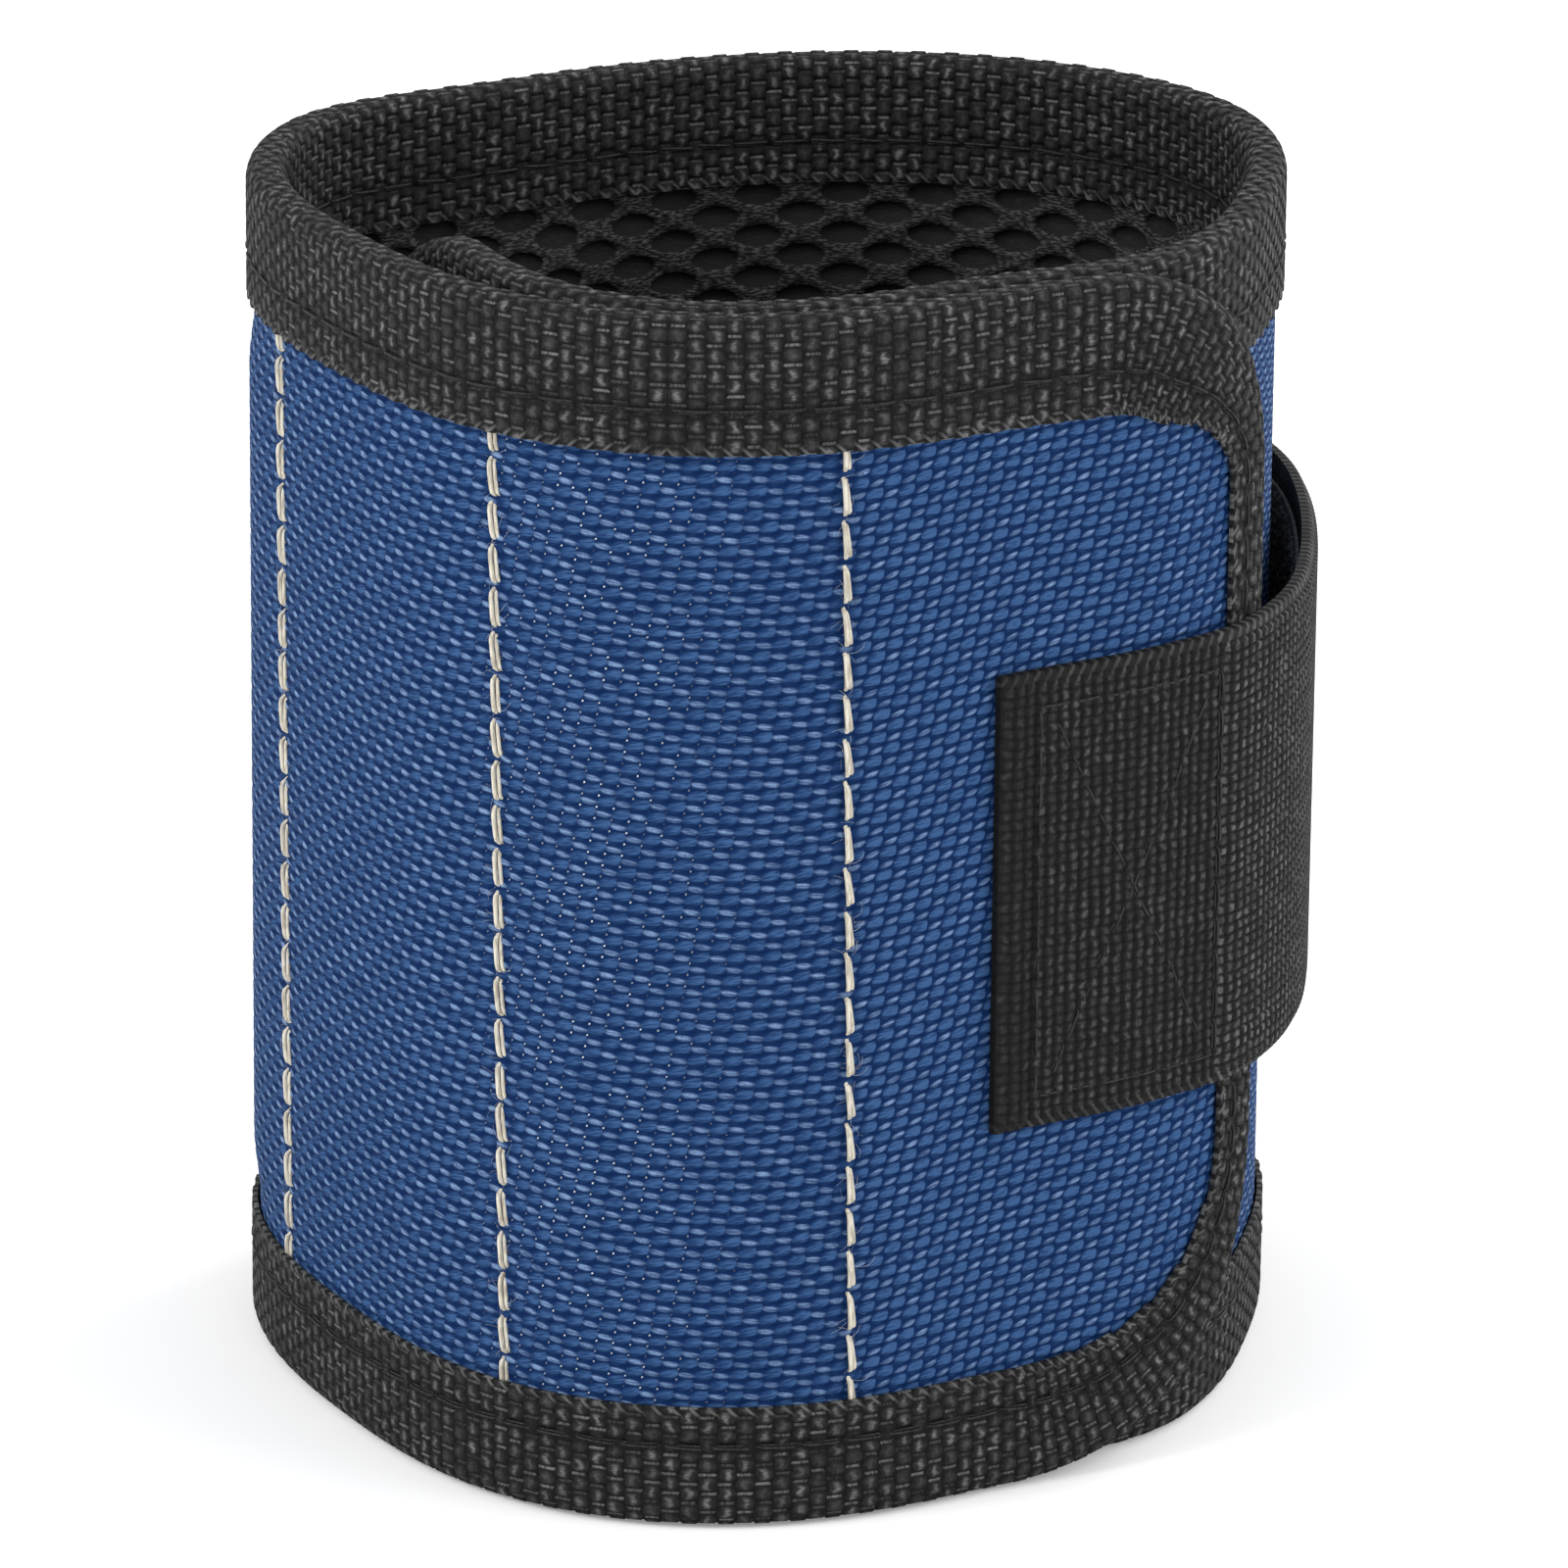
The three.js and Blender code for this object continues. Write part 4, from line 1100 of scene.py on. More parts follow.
cream_finish = thread_finish("cream_thread", (0.44, 0.395, 0.32, 1), (0.71, 0.675, 0.575, 1), 0.65)
fluff_finish = thread_finish("loose_fibre", (0.24, 0.27, 0.36, 1), (0.50, 0.52, 0.58, 1), 0.65)
black_finish = thread_finish("black_thread", (0.005, 0.005, 0.0054, 1), (0.022, 0.022, 0.0225, 1), 0.6)
print("thread finishes", cream_finish.name, fluff_finish.name, black_finish.name)

# %% Tree that sews a row
TWIST, STITCH_STEPS, STRAND_SIDES = 0.12, 8, 5
STRAND_SHARE, LAY_SHARE, DIVE_POWER = 0.25, 0.26, 6.0
tree, given, result = new_tree("sewn_row", {
    "Stitch length": "Float", "Thread thickness": "Float", "Dive": "Float", "Slant": "Float",
    "Slant spread": "Float", "Seed": "Int", "Finish": "Material"})
length, thickness, slant, spread = (
    given[title] for title in ("Stitch length", "Thread thickness", "Slant", "Slant spread"))
lay = thickness * LAY_SHARE
spiral = add_node(tree, "GeometryNodeCurveSpiral", {
    "Resolution": round(STITCH_STEPS / TWIST), "Rotations": TWIST, "Start Radius": lay, "End Radius": lay,
    "Height": length})
one_strand = thread_along(tree, spiral.outputs[0], STRAND_SIDES, thickness * STRAND_SHARE)
other_strand = add_node(tree, "GeometryNodeTransform", {"Geometry": one_strand, "Rotation": (0, 0, math.pi)})
side_by_side = add_node(tree, "GeometryNodeTransform", {
    "Geometry": joined(tree, one_strand, other_strand.outputs[0]),
    "Rotation": (0, 0, math.pi / 2 - TWIST * math.pi)})
half = length * -0.5
shift = add_node(tree, "ShaderNodeCombineXYZ", {0: half})
lying = add_node(tree, "GeometryNodeTransform", {
    "Geometry": side_by_side.outputs[0], "Rotation": (0, math.pi / 2, 0), "Translation": shift.outputs[0]})
spot = add_node(tree, "GeometryNodeInputPosition").outputs[0]
place = add_node(tree, "ShaderNodeSeparateXYZ", {0: spot})
along = abs(Wire(place.outputs[0]) / half)
fall = along.reckon("POWER", DIVE_POWER) * given["Dive"] * -1.0
down = add_node(tree, "ShaderNodeCombineXYZ", {2: fall})
bowed = add_node(tree, "GeometryNodeSetPosition", {"Geometry": lying.outputs[0], "Offset": down.outputs[0]})
rounded = add_node(tree, "GeometryNodeSetShadeSmooth", {"Geometry": bowed.outputs[0]})
heading = add_node(tree, "GeometryNodeInputNamedAttribute", {"Name": "heading"}, data_type="FLOAT")
wobble = random_number(tree, slant - spread, slant + spread, given["Seed"])
sewn = on_points(tree, given["Geometry"], rounded.outputs[0], wobble + heading.outputs[0])
sewing_tree = finish_tree(tree, sewn, given["Finish"], result)
print("sewing tree", len(sewing_tree.nodes), "nodes")

# %% Grown pieces
STITCH_SETTINGS = ("Stitch length", "Thread thickness", "Dive", "Slant", "Slant spread")


def laid_mesh(mesh, place_at):
    """Moves a flat mesh to its place, and turns its faces round where the layout is mirrored."""
    flat = np.zeros(len(mesh.vertices) * 3, np.float32)
    mesh.vertices.foreach_get("co", flat)
    flat = flat.reshape(-1, 3).astype(float)
    probe = flat.mean(0) + np.concatenate([np.zeros((1, 3)), np.eye(3) * CLEARANCE])
    corner, *axes = place_at(*probe.T)
    mesh.vertices.foreach_set("co", place_at(*flat.T).astype(np.float32).ravel())
    if np.linalg.det(np.array(axes) - corner) < 0:
        mesh.flip_normals()
    mesh.update()
    return mesh


def grown_piece(name, tree, points, attributes, settings, place_at):
    """Grows a flat piece with a tree, and lays it in its place."""
    mesh = grow(f"{name}_flat", tree, points, attributes, settings)
    return as_object(name, laid_mesh(mesh, place_at), settings["Finish"])


def sewn_piece(name, points, headings, stitch, seed, finish, place_at):
    """A row of stitches; stitch gives their length, thickness, dive, slant and the slant's spread."""
    settings = {**dict(zip(STITCH_SETTINGS, stitch)), "Seed": seed, "Finish": finish}
    return grown_piece(name, sewing_tree, points, {"heading": headings}, settings, place_at)

# %% Tree for loose fibres
# One bent fibre of length 1 and thickness 0.02 is placed on points beside a seam, turned and scaled by
# chance.
FIBRE_BEND = {"Start": (0, 0, -0.1), "Middle": (0.5, 0.16, 0.42), "End": (1, -0.22, 0.08)}
FIBRE_STEPS, FIBRE_SIDES, FIBRE_RADIUS = 5, 3, 0.010
tree, given, result = new_tree("loose_fibres", {
    "Fibre length": "Float", "Length spread": "Float", "Seed": "Int", "Finish": "Material"})
curve = add_node(tree, "GeometryNodeCurveQuadraticBezier", {"Resolution": FIBRE_STEPS, **FIBRE_BEND})
fibre = thread_along(tree, curve.outputs[0], FIBRE_SIDES, FIBRE_RADIUS)
spin = random_number(tree, -math.pi, math.pi, given["Seed"])
spread = given["Length spread"]
share = random_number(tree, 1.0 - spread, spread + 1.0, given["Seed"])
strewn = on_points(tree, given["Geometry"], fibre, spin, share * given["Fibre length"])
fluff_tree = finish_tree(tree, strewn, given["Finish"], result)
print("fibre tree", len(fluff_tree.nodes), "nodes")

# %% Cream pocket seams
SEAM_STITCH, SEAM_LIFT, SEAM_SEED = 3.2 * MM, 0.1 * MM, 11
CREAM_STITCH = (SEAM_STITCH * 0.99, 0.70 * MM, 0.6 * MM, -0.09, 0.04)
FLUFF_COUNT, FLUFF_SPREAD, FLUFF_LIFT = 130, 0.3 * MM, 0.12 * MM
FLUFF_LENGTH, FLUFF_LENGTH_SPREAD, FLUFF_SEED, FLUFF_SPOT_SEED = 0.95 * MM, 0.5, 21, 101
UNDER_TAPE = 1.5 * MM
SEAM_FOOT, SEAM_HEAD = TAPE_LEG_BOTTOM - UNDER_TAPE, BAND_HEIGHT - TAPE_LEG_TOP + UNDER_TAPE


def seam_place(x, y, height):
    return band.at(seam_line(x, y), CLOTH_OUTER - SEAM_DIP + height, y)


seam_count = round((SEAM_HEAD - SEAM_FOOT) / SEAM_STITCH)
rises = SEAM_FOOT + (np.arange(seam_count) + 0.5) * (SEAM_HEAD - SEAM_FOOT) / seam_count
headings = np.full(seam_count, math.pi / 2)
for number, line in enumerate(sewn_lines):
    row = np.column_stack([np.full(seam_count, line), rises, np.full(seam_count, SEAM_LIFT)])
    seam = sewn_piece(f"pocket_seam_{number + 1}", row, headings, CREAM_STITCH, SEAM_SEED + number,
                      cream_finish, seam_place)
    fluff = np.random.default_rng(FLUFF_SPOT_SEED + number)
    spots = np.column_stack([
        fluff.normal(line, FLUFF_SPREAD, FLUFF_COUNT), fluff.uniform(SEAM_FOOT, SEAM_HEAD, FLUFF_COUNT),
        np.full(FLUFF_COUNT, FLUFF_LIFT)])
    loose = grown_piece(f"seam_fibres_{number + 1}", fluff_tree, spots, {}, {
        "Fibre length": FLUFF_LENGTH, "Length spread": FLUFF_LENGTH_SPREAD, "Seed": FLUFF_SEED + number,
        "Finish": fluff_finish}, seam_place)
    meeting = [stretch for stretch in stretches if abs(stretch[2] - line) < CLEARANCE]
    for piece in (seam, loose):
        if meeting:
            bend_over(piece, *meeting[0][:2], band, line)
        else:
            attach(piece, "back")
print("seams", len(sewn_lines), "of", seam_count, "stitches and", FLUFF_COUNT, "loose fibres")

# %% Black stitches along the binding
TAPE_STITCH, THREAD_SUNK, TAPE_SEED = 3.2 * MM, 0.12 * MM, 31
BINDING_STITCH = (TAPE_STITCH * 0.95, 0.45 * MM, 0.35 * MM, 0.0, 0.06)


def sewn_face(run, side):
    """Places on the tape's seam: outside the band for side 1, inside it for side -1."""
    face = TAPE_OUTER if side > 0 else TAPE_INNER

    def place(x, y, height):
        leg = run.station(x)[4]
        return run.place(x, TAPE_SEAM_SHARE * leg + y, face + side * (height - THREAD_SUNK))

    return place


for number, (name, (index, run)) in enumerate(tape_runs.items()):
    count = round(run.length / TAPE_STITCH)
    row = np.column_stack([(np.arange(count) + 0.5) * run.length / count, np.zeros((count, 2))])
    first, second, seam = stretches[index]
    for side, title in ((1, "outer"), (-1, "inner")):
        stitches = sewn_piece(f"{title}_stitches_{name}", row, np.zeros(count), BINDING_STITCH,
                              TAPE_SEED + number, black_finish, sewn_face(run, side))
        bend_over(stitches, first, second, band, seam)
print("binding stitches on", len(tape_runs), "runs of tape, both sides")

# %% [markdown]
# ## Strap
#
# The closing strap is a heavy black webbing, sewn to the flap in a box and left free beyond the flap's end.
# Inside it carries a pile that grips the hook patches on the band.
# The webbing is another woven layer on its own track, which starts on the flap and runs the other way round.

# %% Strap track
STRAP_LENGTH, STRAP_WIDTH, STRAP_THICKNESS = 108.9 * MM, 34.3 * MM, 1.3 * MM
STRAP_SEWN, STRAP_BEND_END, STRAP_RUN_END = 25.9 * MM, 56.9 * MM, 84.9 * MM
STRAP_TIP_CORNER, STRAP_DROP, STRAP_SLOPE = 7 * MM, 0.2 * MM, 0.03
STRAP_STEP_UP, STRAP_BRIDGE_SPAN = 6 * MM, 46
HOOK_THICKNESS, PILE_THICKNESS = 0.8 * MM, 0.6 * MM
strap_landing = CLOTH_OUTER + HOOK_THICKNESS + PILE_THICKNESS + 3 * CLEARANCE
strap_descent = LAYER_PITCH + TAPE_OUTER + CLEARANCE - strap_landing
step_from, step_to = (float(band.angle_at(reach)) for reach in (TAPE_LEG_END + STRAP_STEP_UP, TAPE_LEG_END))


def strap_radius(angle):
    step_up = smooth((angle - step_from) / (step_to - step_from))
    seat = CLOTH_OUTER + CLEARANCE + (TAPE_OUTER - CLOTH_OUTER) * step_up
    return band_radius(angle) + seat - strap_descent * smooth((angle - FLAP_END_ANGLE) / STRAP_BRIDGE_SPAN)


strap = Track(strap_radius, float(band.angle_at(STRAP_SEWN)), 1)


def strap_span(distance):
    """Middle height and half width of the strap at a distance along it."""
    short = np.clip(STRAP_TIP_CORNER - (STRAP_LENGTH - distance), 0, STRAP_TIP_CORNER)
    cut = STRAP_TIP_CORNER - np.sqrt(STRAP_TIP_CORNER ** 2 - short ** 2)
    return BAND_HEIGHT / 2 - STRAP_DROP + STRAP_SLOPE * distance, STRAP_WIDTH / 2 - cut


# %% Strap finish
STRAP_GAP_SHADE = (0.0040, 0.0040, 0.0043, 1)
STRAP_GROUND = (0.0150, 0.0150, 0.0153, 1)
STRAP_STROKE = (0.105, 0.105, 0.105, 1)
HEM_WIDTH, BOX_WIDTH, SELVAGE = 2.7, 18.5, 1.1

strap_finish, tree, shader = new_finish("black_webbing", {"Specular IOR Level": 0.12})
u, v, column, row, *_ = thread_grid(tree)
distance, from_edge = lattice_map(tree, "place")
sway = fibres(u, v, 0.4, 0.7).fade(0.3, 0.7, -0.16, 0.16)
jog = fibres(u, v, 0.8, 0.3).fade(0.3, 0.7, -0.16, 0.16)
off_rib = off_middle((u + sway).reckon("FRACT"))
off_pick = off_middle((v + jog).reckon("FRACT"))
luck = chance(column, row)
lines = fibres(u, v, 5.0, 1.6)
patchy_strokes = fibres(u, v, 0.4, 0.35, 4.0).fade(0.35, 0.65, 0.5, 1.2)
sewn_flat = distance.fade(BOX_WIDTH - 0.5, BOX_WIDTH + 0.5)
# The ground is painted darker at the edges of each crossing, as shade between the ribs and picks.
ground = off_pick.fade(0.32, 0.48, 1.0, 0.35) * off_rib.fade(0.28, 0.48, 1.0, 0.3)
tick = off_pick.fade(0.18, 0.42).reckon("MAXIMUM", sewn_flat * 0.25)
stroke = (
    off_rib.fade(0.05, 0.32) * tick * luck.fade(0.0, 1.0, 0.4, 1.0) * lines.fade(0.34, 0.64, 0.5, 1.2))
selvage = from_edge.fade(SELVAGE - 0.2, SELVAGE + 0.2)
off_twill = off_middle((u + from_edge * 0.9).reckon("FRACT"))
twill = selvage * off_twill.fade(0.05, 0.25) * 0.75
bright = (stroke * (1.0 - selvage)).reckon("MAXIMUM", twill)
hem = distance.fade(HEM_WIDTH - 0.3, HEM_WIDTH + 0.3, 0.35, 1.0)
pressed = sewn_flat.fade(0.0, 1.0, 1.05, 0.56)
colour = mix_colour(ground * pressed, STRAP_GAP_SHADE, STRAP_GROUND)
colour = mix_colour(bright * hem * pressed * patchy_strokes, colour, STRAP_STROKE)
join_surface(tree, shader, colour, lines.fade(0.3, 0.7, 0.8, 0.6), lines, 0.6, 0.12 * MM)
print("strap finish", len(tree.nodes), "nodes")

# %% Webbing pieces
STRAP_COLUMNS, STRAP_ROWS = 118, 45
STRAP_PARTS = ((0, 0.22, 0.78), (0, 0.2, 0.8))
RIB_GAP, PICK_GAP, LOOSE_GAP, LOOSE_REACH = 0.16 * MM, 0.12 * MM, 0.13 * MM, 4 * MM
STRAP_EDGE, STRAP_EDGE_DROP = 1.1 * MM, 0.45 * MM
STRAP_SEAM_DIP, STRAP_SEAM_REACH = 0.16 * MM, 0.4 * MM
strap_seams = np.array([HEM_WIDTH, BOX_WIDTH]) * MM
STRAP_BODIES = ["flap", "strap_bend", "strap_run", "strap_tip"]
STRAP_HINGES = [STRAP_SEWN, STRAP_BEND_END, STRAP_RUN_END]
STRAP_SHIFTS = [0.0, 0.0, BEND_REACH]  # the tip's stretch is shifted beyond its hinge
STRAP_CUTS = [0, 45, 77, STRAP_COLUMNS]
STRAP_NODES = [("strap_base", "strap_bend"), ("strap_bend", "strap_run"), ("strap_run", "strap_tip")]


class Strap:
    """The closing strap, placed by thread numbers."""

    def spot(self, u, v):
        """Distance along the strap, height, and distance from the nearer long edge."""
        distance = u * STRAP_LENGTH / STRAP_COLUMNS
        middle, half = strap_span(distance)
        from_edge = np.minimum(v, STRAP_ROWS - v) / STRAP_ROWS * 2 * half
        return distance, middle + (2 * v / STRAP_ROWS - 1) * half, from_edge

    def front(self, u, v):
        distance, z, from_edge = self.spot(u, v)
        nearest = np.minimum(from_edge, np.minimum(distance, STRAP_LENGTH - distance))
        loose = smooth((distance - BOX_WIDTH * MM) / LOOSE_REACH)
        sink = RIB_GAP * crest_edge(u) + (PICK_GAP + LOOSE_GAP * loose) * crest_edge(v)
        sink = sink + STRAP_EDGE_DROP * (1 - smooth(nearest / STRAP_EDGE))
        seams = sum(np.exp(-((distance - seam) / STRAP_SEAM_REACH) ** 2) for seam in strap_seams)
        return strap.at(distance, STRAP_THICKNESS - sink - STRAP_SEAM_DIP * seams, z)

    def back(self, u, v):
        distance, z, _ = self.spot(u, v)
        return strap.at(distance, 0, z)

    def inside(self, u, v):
        return np.ones(u.shape, bool)

    def share(self, u, v):
        distance, _, from_edge = self.spot(u, v)
        return np.stack([distance, from_edge], -1) / MM


for index, hinge in enumerate(STRAP_HINGES):
    columns = STRAP_CUTS[index:index + 2]
    piece = woven_layer(f"webbing_{index + 1}", columns, (0, STRAP_ROWS), STRAP_PARTS, Strap(), strap_finish)
    bend_over(piece, *STRAP_BODIES[index:index + 2], strap, hinge, STRAP_SHIFTS[index])
    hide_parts(*STRAP_NODES[index])
ends = [strap.at(np.array(distance), 0, BAND_HEIGHT / 2).round(4) for distance in (0.0, STRAP_LENGTH)]
print("strap from", ends[0], "to", ends[1])

# %% Box and cross stitches on the strap
BOX_STITCH, CROSS_INSET, BOX_SEED = 2.6 * MM, 1.2 * MM, 61
STRAP_STITCH = (BOX_STITCH * 0.95, 0.42 * MM, 0.35 * MM, 0.0, 0.05)
BOX_INSET, BOX_FROM_HEM = 2.6 * MM, 0.5 * MM
BOX_HALF = STRAP_WIDTH / 2 - BOX_INSET


def strap_place(x, y, height):
    return strap.at(x, STRAP_THICKNESS - THREAD_SUNK + height, strap_span(x)[0] + y)


def stitch_line(start, end):
    """Stitch places and headings along a straight line on the flat strap."""
    start, end = np.array(start), np.array(end)
    count = round(np.linalg.norm(end - start) / BOX_STITCH)
    share = (np.arange(count) + 0.5) / count
    spots = start + share[:, None] * (end - start)
    return np.column_stack([spots, np.zeros(count), np.full(count, math.atan2(*(end - start)[::-1]))])


near, far = strap_seams + np.array([BOX_FROM_HEM, 0.0])
corners = [(near, -BOX_HALF), (far, -BOX_HALF), (far, BOX_HALF), (near, BOX_HALF)]
inner = [(x - np.sign(x - near - CROSS_INSET) * CROSS_INSET, y - np.sign(y) * CROSS_INSET)
         for x, y in corners]
sides = [stitch_line(corners[i], corners[(i + 1) % 4]) for i in range(4)]
sewing = np.concatenate(sides + [stitch_line(inner[i], inner[i + 2]) for i in range(2)])
strap_stitches = sewn_piece("strap_stitches", sewing[:, :3], sewing[:, 3], STRAP_STITCH, BOX_SEED,
                            black_finish, strap_place)
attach(strap_stitches, "flap")
print("strap stitches", len(sewing))

# %% [markdown]
# ## Hook and loop
#
# The strap closes with hook and loop tape: a pile of soft loops inside the strap and stiff hooks on the band.
# They show when the strap is opened. Each tape is a thin backing with one small bent thread on many points,
# so Geometry Nodes make it flat, each loop or hook turned by a seeded random number, and it is then laid in
# place.

# %% Hook and loop finishes
def tufted_finish(name, dark, light, settings):
    """Loops or hooks: two tones of one colour, mottled."""
    finish, tree, shader = new_finish(name, settings)
    tone = grain_of(tree, 900.0, 3.0).fade(0.3, 0.7, 0.0, 1.0)
    tree.links.new(mix_colour(tone, dark, light), shader.inputs["Base Color"])
    return finish


# The pile is a lighter grey than black loops: partly the grey look of fuzzy loops, partly painted light so
# that it shows in the shaded gap under the strap.
pile_finish = tufted_finish("black_loop_pile", (0.090, 0.090, 0.091, 1), (0.200, 0.200, 0.202, 1), {
    "Roughness": 0.85, "Specular IOR Level": 0.12})
hook_finish = tufted_finish("black_hook_tape", (0.010, 0.010, 0.011, 1), (0.022, 0.022, 0.023, 1), {
    "Roughness": 0.42, "Specular IOR Level": 0.4})
print("finishes", pile_finish.name, hook_finish.name)

# %% Trees for loops and hooks
LOOP_BEND = {"Start": (-0.32 * MM, 0, 0), "Middle": (0, 0.1 * MM, 0.56 * MM), "End": (0.32 * MM, 0, 0)}
HOOK_BEND = {"Start": (0, 0, 0), "Middle": (0, 0, 0.78 * MM), "End": (0.34 * MM, 0, 0.2 * MM)}
TUFT_STEPS, TUFT_SIDES, TUFT_JITTER, BACKING_STEP = 6, 4, 0.2, 2 * MM


def tufted_tree(name, bend):
    """A backing with one bent thread on every point."""
    tree, given, result = new_tree(name, {
        "Length": "Float", "Width": "Float", "Backing": "Float", "Divisions": "Int", "Thread": "Float",
        "Turn": "Float", "Seed": "Int", "Finish": "Material"})
    size = add_node(tree, "ShaderNodeCombineXYZ", {
        0: given["Length"], 1: given["Width"], 2: given["Backing"]})
    slab = add_node(tree, "GeometryNodeMeshCube", {
        "Size": size.outputs[0], "Vertices X": given["Divisions"], "Vertices Y": 4, "Vertices Z": 2})
    middle = add_node(tree, "ShaderNodeCombineXYZ", {0: given["Length"] * 0.5, 2: given["Backing"] * -0.5})
    backing = add_node(tree, "GeometryNodeTransform", {
        "Geometry": slab.outputs[0], "Translation": middle.outputs[0]})
    curve = add_node(tree, "GeometryNodeCurveQuadraticBezier", {"Resolution": TUFT_STEPS, **bend})
    thread = thread_along(tree, curve.outputs[0], TUFT_SIDES, given["Thread"])
    rounded = add_node(tree, "GeometryNodeSetShadeSmooth", {"Geometry": thread})
    spin = random_number(tree, given["Turn"] * -1.0, given["Turn"], given["Seed"])
    tufts = on_points(tree, given["Geometry"], rounded.outputs[0], spin)
    return finish_tree(tree, joined(tree, backing.outputs[0], tufts), given["Finish"], result)


def tuft_points(length, width, spacing, seed):
    """Staggered rows of points over a backing that starts at x = 0, each shifted a little."""
    rows = np.arange(spacing, width - spacing / 2, spacing) - width / 2
    columns = np.arange(spacing, length - spacing / 2, spacing)
    x, y = np.meshgrid(columns, rows, indexing="ij")
    x = x + (np.arange(len(rows)) % 2 - 0.5) * spacing / 2
    jitter = spacing * TUFT_JITTER
    shift = np.random.default_rng(seed).uniform(-jitter, jitter, (x.size, 2))
    return np.column_stack([np.column_stack([x.ravel(), y.ravel()]) + shift, np.zeros(x.size)])


def tufted_piece(name, tree, length, width, spacing, settings, place_at):
    """A length of tape with loops or hooks."""
    points = tuft_points(length, width, spacing, settings["Seed"])
    divisions = 2 + round(length / BACKING_STEP)
    settings = {"Length": length, "Width": width, "Divisions": divisions, **settings}
    return grown_piece(name, tree, points, {}, settings, place_at)


pile_tree = tufted_tree("loop_pile", LOOP_BEND)
hook_tree = tufted_tree("hook_tape", HOOK_BEND)
print("trees", [group.name for group in bpy.data.node_groups])

# %% Pile inside the strap
PILE_MARGIN, PILE_BACKING, PILE_SPACING, PILE_THREAD = 2 * MM, 0.25 * MM, 0.9 * MM, 0.06 * MM
SEAM_GAP, PILE_SEED = 0.3 * MM, 71
PILE_WIDTH = STRAP_WIDTH - 2 * PILE_MARGIN
strap_cuts = [cut * STRAP_LENGTH / STRAP_COLUMNS for cut in STRAP_CUTS]
pile_start, pile_end = STRAP_SEWN + SEAM_GAP / 2 + PILE_MARGIN, STRAP_LENGTH - PILE_MARGIN - STRAP_TIP_CORNER
pile_ends = [pile_start, *strap_cuts[1:3], pile_end]
pile_nodes = [("bend",), ("bend", "run"), ("run", "tip")]
for index, hinge in enumerate(STRAP_HINGES):
    start, end = pile_ends[index:index + 2]

    def pile_place(x, y, height):
        return strap.at(start + x, -CLEARANCE - PILE_BACKING - height, strap_span(start + x)[0] + y)

    piece = tufted_piece(f"pile_{index + 1}", pile_tree, end - start, PILE_WIDTH, PILE_SPACING, {
        "Backing": PILE_BACKING, "Thread": PILE_THREAD, "Turn": math.pi, "Seed": PILE_SEED + index,
        "Finish": pile_finish}, pile_place)
    bend_over(piece, *STRAP_BODIES[index:index + 2], strap, hinge, STRAP_SHIFTS[index])
    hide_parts(*[f"strap_pile_{name}" for name in pile_nodes[index]])
    print(piece.name, len(piece.data.polygons), "faces")

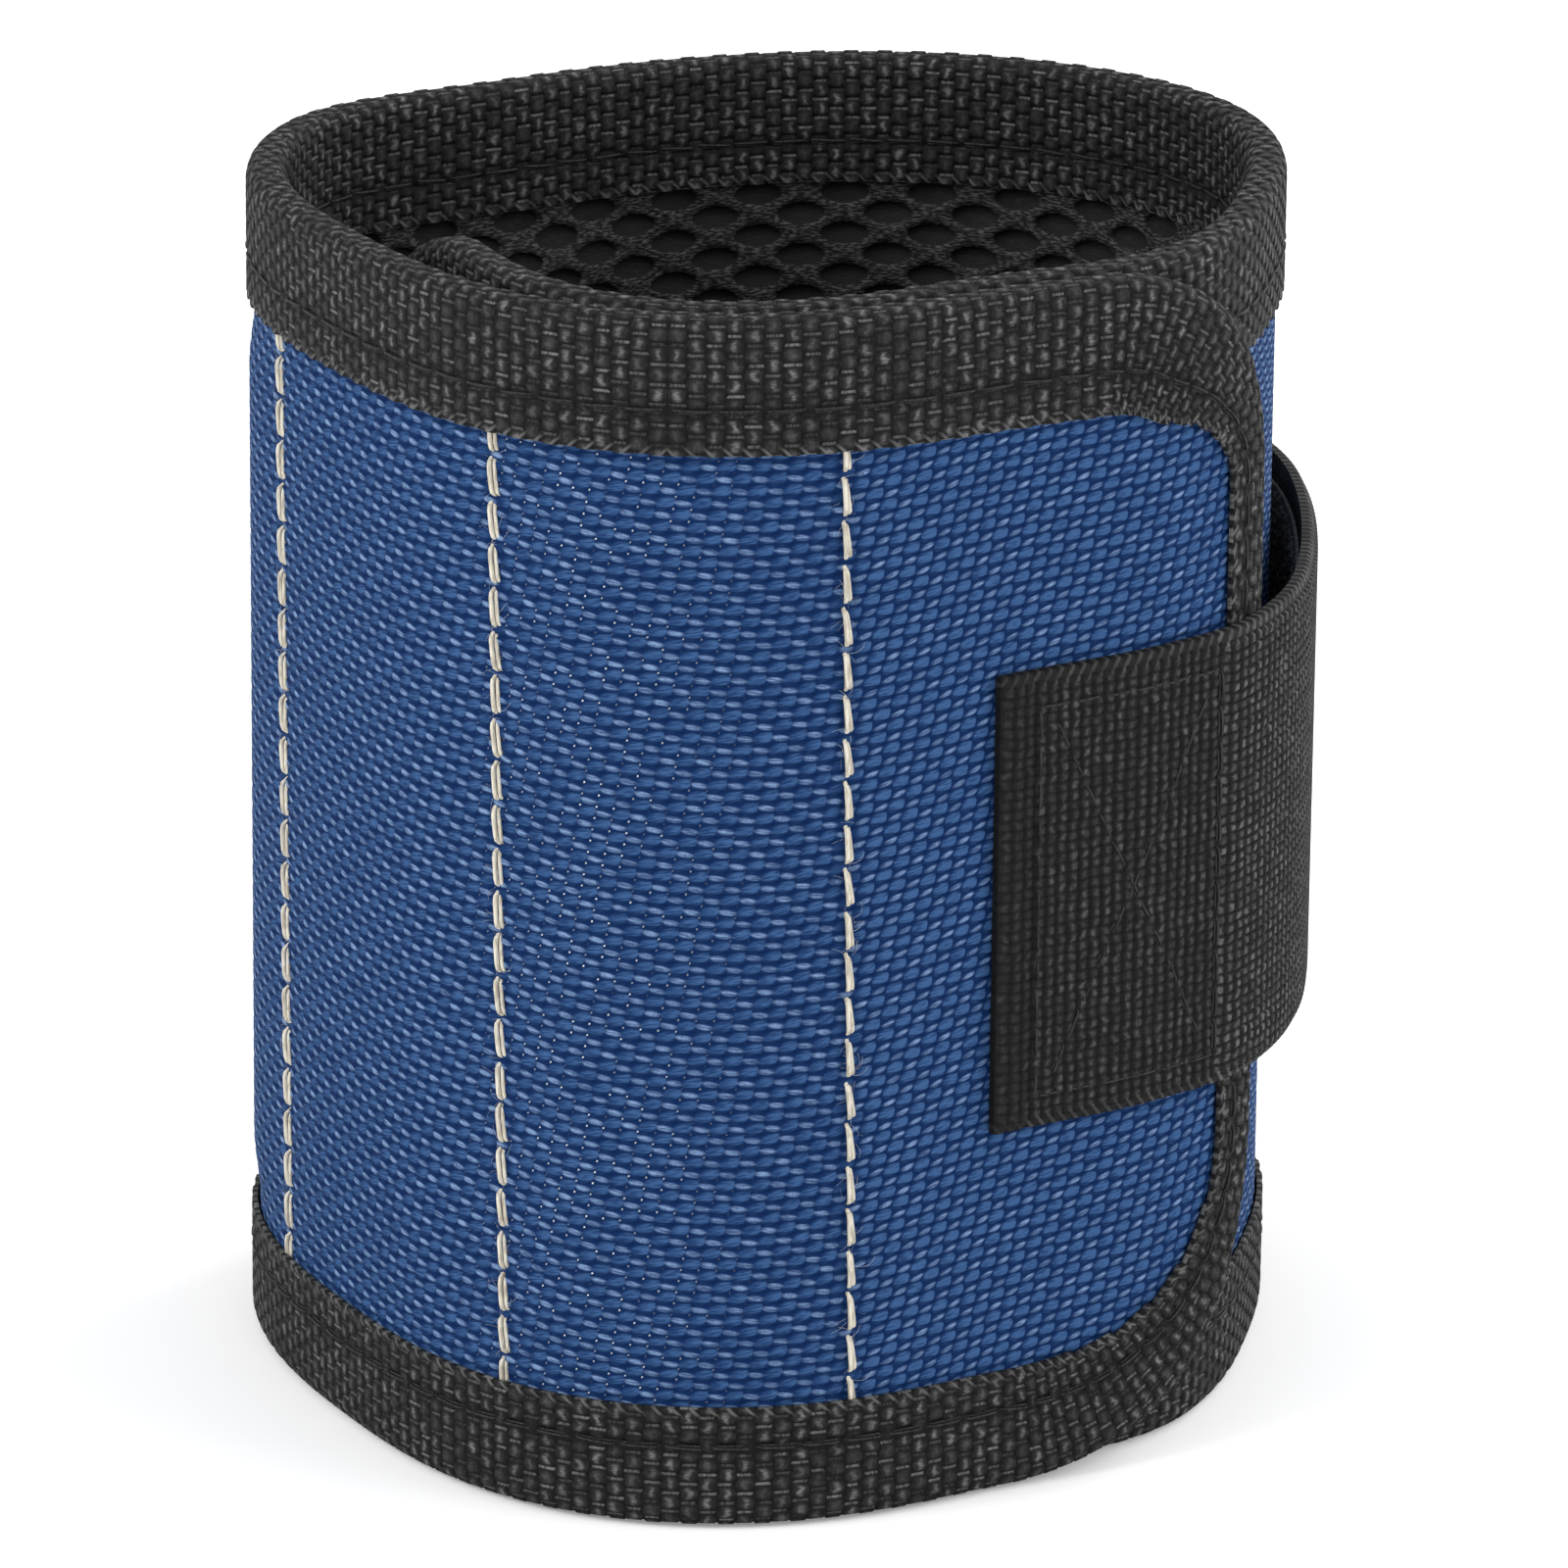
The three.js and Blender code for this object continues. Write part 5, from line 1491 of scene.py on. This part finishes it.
# %% Hook patches on the band
HOOK_MARGIN, HOOK_HEIGHT, HOOK_BACKING, HOOK_SPACING = 3 * MM, 30 * MM, 0.3 * MM, 1.3 * MM
HOOK_THREAD, HOOK_TURN, HOOK_SEED = 0.09 * MM, 0.25, 81
hook_pockets = {"back": (back_middle, section_ends[4]), "right": (section_starts[5], section_ends[5])}
for index in (4, 5):
    first, second, seam = stretches[index]
    for section, (pocket_start, pocket_end) in hook_pockets.items():
        start = max(pocket_start + HOOK_MARGIN, cuts[index])
        end = min(pocket_end - HOOK_MARGIN, cuts[index + 1])
        if end <= start:
            continue

        def hook_place(x, y, height):
            return band.at(start + x, CLOTH_OUTER + CLEARANCE + HOOK_BACKING + height, BAND_HEIGHT / 2 + y)

        name = f"hooks_{section}_{first}_to_{second}"
        piece = tufted_piece(name, hook_tree, end - start, HOOK_HEIGHT, HOOK_SPACING, {
            "Backing": HOOK_BACKING, "Thread": HOOK_THREAD, "Turn": HOOK_TURN, "Seed": HOOK_SEED + index,
            "Finish": hook_finish}, hook_place)
        bend_over(piece, first, second, band, seam)
        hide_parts(f"hook_patch_{section}")
        print(piece.name, len(piece.data.polygons), "faces")

# %% [markdown]
# ## What the cloth was cut from
#
# The band's cloth and mesh are sheets that were cut flat; each cloth panel prints its flat size before it was
# rolled.

# %% Flat sizes
def cut_size(index):
    """Height, length and area of one flat stretch, less its rounded corners at an end of the strip."""
    height = BAND_HEIGHT - 2 * FIELD_INSET
    at_end = index in (0, len(stretches) - 1)
    length = cuts[index + 1] - cuts[index] - (FIELD_INSET if at_end else 0)
    squares = [(corner - FIELD_INSET) ** 2 for corner in (CORNER_TOP, CORNER_BOTTOM)]
    rounded = sum(squares) * (1 - math.pi / 4) if at_end else 0
    return height, length, height * length - rounded


for index, (panel, lining) in enumerate(zip(cloth_panels, lining_pieces)):
    height, length, area = cut_size(index)
    bound = [tape_pieces[name] for name, (place, _) in tape_runs.items() if place == index]
    print(panel.name, "cut", round(height / MM, 1), "by", round(length / MM, 1), "mm")

# %% [markdown]
# ## Finish the frame
#
# What is still a plain CAD node, the magnets inside their pockets, gets a nickel finish.

# %% Magnets
NICKEL_DULL, NICKEL_BRIGHT = (0.55, 0.54, 0.51, 1), (0.68, 0.67, 0.65, 1)
nickel_finish, tree, shader = new_finish("nickel_plate", {"Metallic": 1.0})
wear = grain_of(tree, 400.0, 3.0)
plate = mix_colour(wear.fade(0.3, 0.7), NICKEL_DULL, NICKEL_BRIGHT)
join_surface(tree, shader, plate, wear.fade(0.3, 0.7, 0.22, 0.34))
magnets = [node for name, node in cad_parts.items() if name.startswith("magnet_")]
for magnet in magnets:
    magnet.data.materials.clear()
    magnet.data.materials.append(nickel_finish)
print("magnets", len(magnets))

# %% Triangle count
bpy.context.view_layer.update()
shown = [o.data for o in scene.objects if o.type == "MESH" and not o.hide_render]
print("triangles", sum(len(mesh.loops) - 2 * len(mesh.polygons) for mesh in shown))
